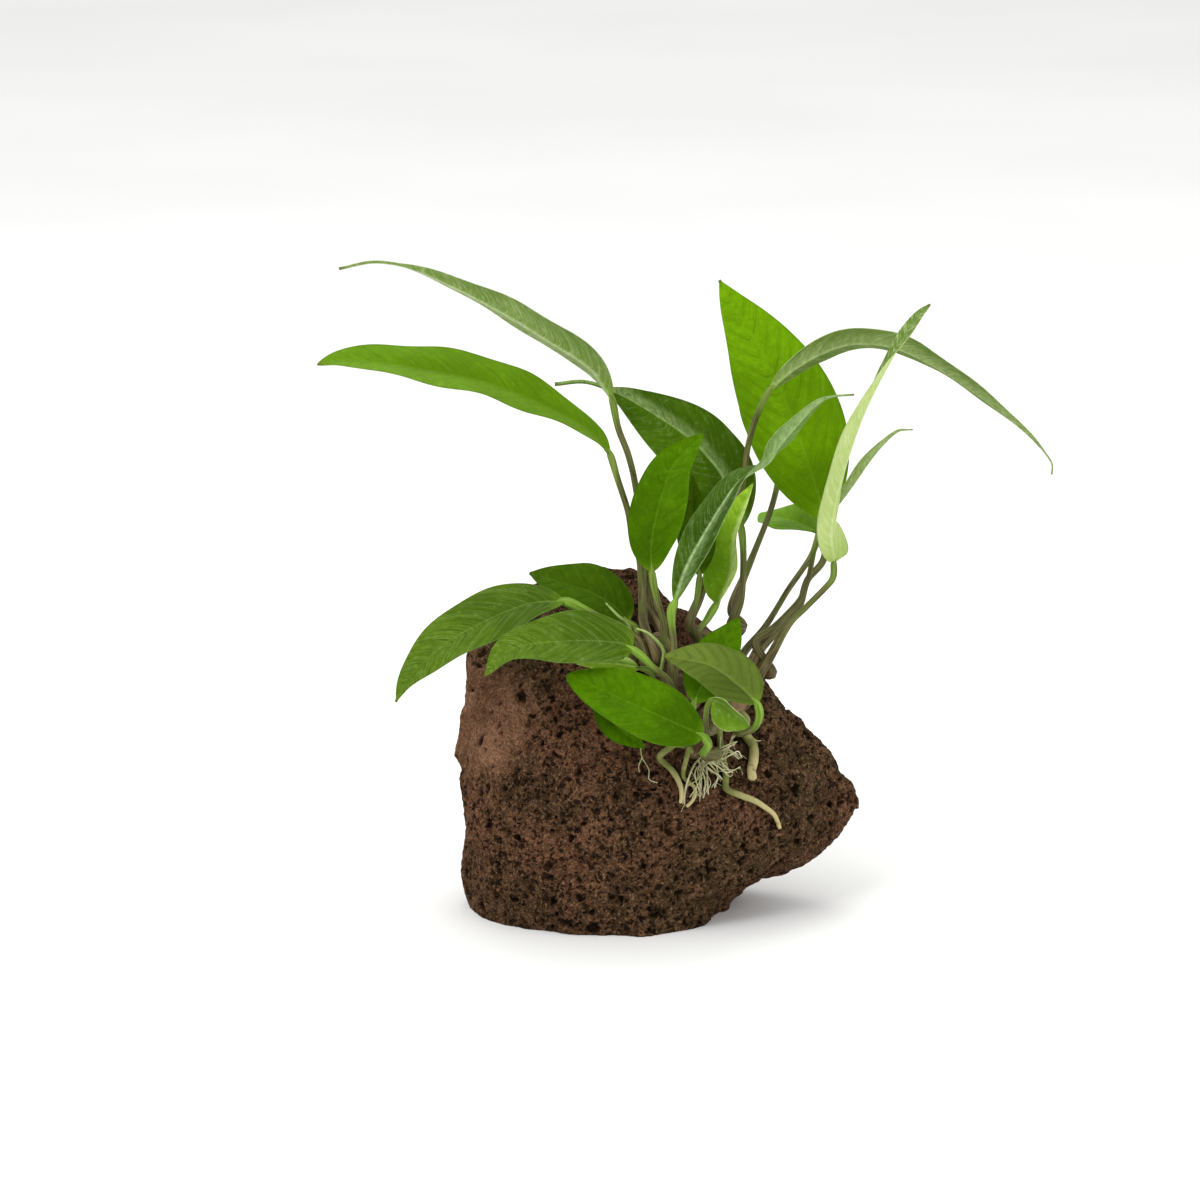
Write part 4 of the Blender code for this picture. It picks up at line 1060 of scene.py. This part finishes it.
def stone_material():
    """Dark brown lava: a crumbly net of ridges between bubbles, redder and smoother on its upper left.
    Shade in its bubbles, pits and hollows and light on its ridges are painted into the colour.
    """
    m = Shader("lava_stone_skin", specular=0.03)
    smooth = m.value("smoothness")
    patch, grain = m.noise(150.0, 4.0, 0.7), m.noise(1500.0, 3.0, 0.75)
    crumb = m.noise(620.0, 4.0, 0.75, distortion=1.2)
    color = m.mix(m.ramp(m.noise(30.0, 4.0, 0.6), 0.40, 0.60), (78, 58, 38), (116, 80, 58))
    color = m.tint(color, (74, 62, 38), m.noise(19.0, 3.0), 0.48, 0.60, 0.0, 0.8)
    color = m.tint(color, (136, 98, 72), patch, 0.46, 0.66, 0.0, 0.6)
    skin = m.mix(m.ramp(patch, 0.36, 0.66), (122, 86, 62), (160, 118, 92))
    color = m.mix(m.times(smooth, 0.9), color, skin)
    calm = m.scaled(smooth, -0.72, 1.0)
    # the bubbles' outlines wander
    drift = m.node("ShaderNodeTexNoise", {"Vector": m.position(), "Scale": 700.0, "Detail": 3.0})
    inputs = {0: drift.outputs["Color"], 1: (0.5, 0.5, 0.5)}
    centred = m.node("ShaderNodeVectorMath", inputs, operation="SUBTRACT")
    inputs = {0: centred.outputs[0], 1: (0.0024, 0.0024, 0.0024), 2: m.position()}
    at = m.node("ShaderNodeVectorMath", inputs, operation="MULTIPLY_ADD").outputs[0]
    wide, middle, small = (stone_pores(m, at, scale, spread) for scale, spread in SKIN_PORES)
    pores = m.times(m.math("MAXIMUM", wide, m.math("MAXIMUM", middle, small)), calm)
    # painted shade in the low hollows of the crumbly net and painted highlight on its raised ridges, matching
    # the bump
    color = m.mix(m.times(m.ramp(crumb, 0.38, 0.54, 0.70, 0.0), calm), color, (42, 29, 19))
    color = m.tint(color, (150, 116, 88), crumb, 0.54, 0.66, 0.0, 0.60)
    # the fine grain's own speckle, darker where the bump is low and lighter where it is high: painted shade
    # and painted highlight
    color = m.tint(color, (48, 34, 23), grain, 0.40, 0.56, 0.50, 0.0)
    color = m.tint(color, (168, 134, 104), grain, 0.58, 0.68, 0.0, 0.60)
    # painted shade: the bubbles and the deeper pits of the stone are darkened where shade falls in them
    color = m.mix(m.times(pores, 0.84), color, (25, 17, 12))
    color = m.tint(color, (18, 12, 8), m.value("pit"), 0.3, 1.5, 0.0, 0.85)
    height = m.scaled(grain, 0.5, m.scaled(pores, -1.0, m.times(crumb, 1.2)))
    return m.finish(color, m.ramp(grain, 0.3, 0.7, 0.90, 1.0), m.bump(height, 1.0, 0.0010))


# -------- building it

blade_skins = {look: blade_material("leaf_skin_" + look, *skin) for look, skin in LEAF_SKINS.items()}
stalk_skin = stalk_material()
creeper_skin = creeper_material()
root_skin = root_material("root_skin", (94, 106, 44), (130, 134, 74), (188, 174, 124), (104, 86, 52))
shoot_skin = root_material("shoot_skin", (104, 130, 50), (136, 164, 84), (150, 172, 100), (108, 112, 56))
fine_skin = root_material("fine_root_skin", (150, 156, 104), (198, 196, 152), (212, 206, 170), (150, 136, 92))

make_stone(stone_material())
for creeper in CREEPERS:
    make_creeper(creeper, creeper_skin)
for leaf_name, leaf in LEAVES.items():
    make_blade(leaf_name, leaf, blade_skins[leaf["look"][0]])
    make_stalk(leaf_name, leaf, stalk_skin)
for root_name, root in ROOTS.items():
    make_root(root_name, root, root_skin)
make_fine_roots(fine_skin)
for shoot_name, shoot in SHOOTS.items():
    make_shoot(shoot_name, shoot, shoot_skin)


# -------- floor, light and camera


def make_floor():
    bpy.ops.mesh.primitive_plane_add(size=6.0, location=(0.0, 0.0, 0.0))
    floor = bpy.context.object
    floor.name = "floor"
    m = Shader("floor_paper", specular=0.2)
    color = m.mix(m.ramp(m.noise(3.0, 2.0), 0.3, 0.7), (236, 236, 234), (240, 240, 239))
    floor.data.materials.append(m.finish(color, m.ramp(m.noise(40.0), 0.3, 0.7, 0.78, 0.86)))


def add_area_light(name, size, power, location):
    """A round lamp that faces the middle of the piece."""
    light = bpy.data.lights.new(name, "AREA")
    light.shape = "DISK"
    light.size = size
    light.energy = power
    lamp = bpy.data.objects.new(name, light)
    lamp.location = location
    lamp.rotation_euler = (Vector(LIGHT_TARGET) - Vector(location)).to_track_quat("-Z", "Y").to_euler()
    bpy.context.scene.collection.objects.link(lamp)


def make_world():
    world = bpy.data.worlds.new("soft_room")
    bpy.context.scene.world = world
    world.use_nodes = True
    background = world.node_tree.nodes["Background"]
    background.inputs["Color"].default_value = (1.0, 1.0, 1.0, 1.0)
    background.inputs["Strength"].default_value = ROOM_LIGHT


LIGHT_TARGET = (0.0, 0.0, 0.09)
ROOM_LIGHT = 0.95
CAMERA_DISTANCE = 1.5
CAMERA_LENS = 150.0
CAMERA_TARGET = (-18.0, 100.8)


def make_camera():
    """A long lens that looks down on the front by the layout's lean."""
    across, up = CAMERA_TARGET
    target = Vector((across, 0.0, (up - FOOT_RISE) / math.cos(LEAN))) * MM
    data = bpy.data.cameras.new("camera")
    data.lens = CAMERA_LENS
    data.sensor_width = 36.0
    data.clip_start = 0.05
    data.clip_end = 20.0
    camera = bpy.data.objects.new("camera", data)
    camera.location = target - SIGHT * CAMERA_DISTANCE
    camera.rotation_euler = (math.radians(90.0) - LEAN, 0.0, 0.0)
    bpy.context.scene.collection.objects.link(camera)
    bpy.context.scene.camera = camera


make_floor()
make_world()
add_area_light("key", 1.0, 16.0, (-0.7, -0.9, 1.5))
add_area_light("fill", 1.4, 5.0, (1.3, -0.8, 0.7))
add_area_light("top", 0.9, 6.0, (0.1, 0.5, 1.5))
make_camera()
bpy.context.scene.view_settings.view_transform = "Standard"
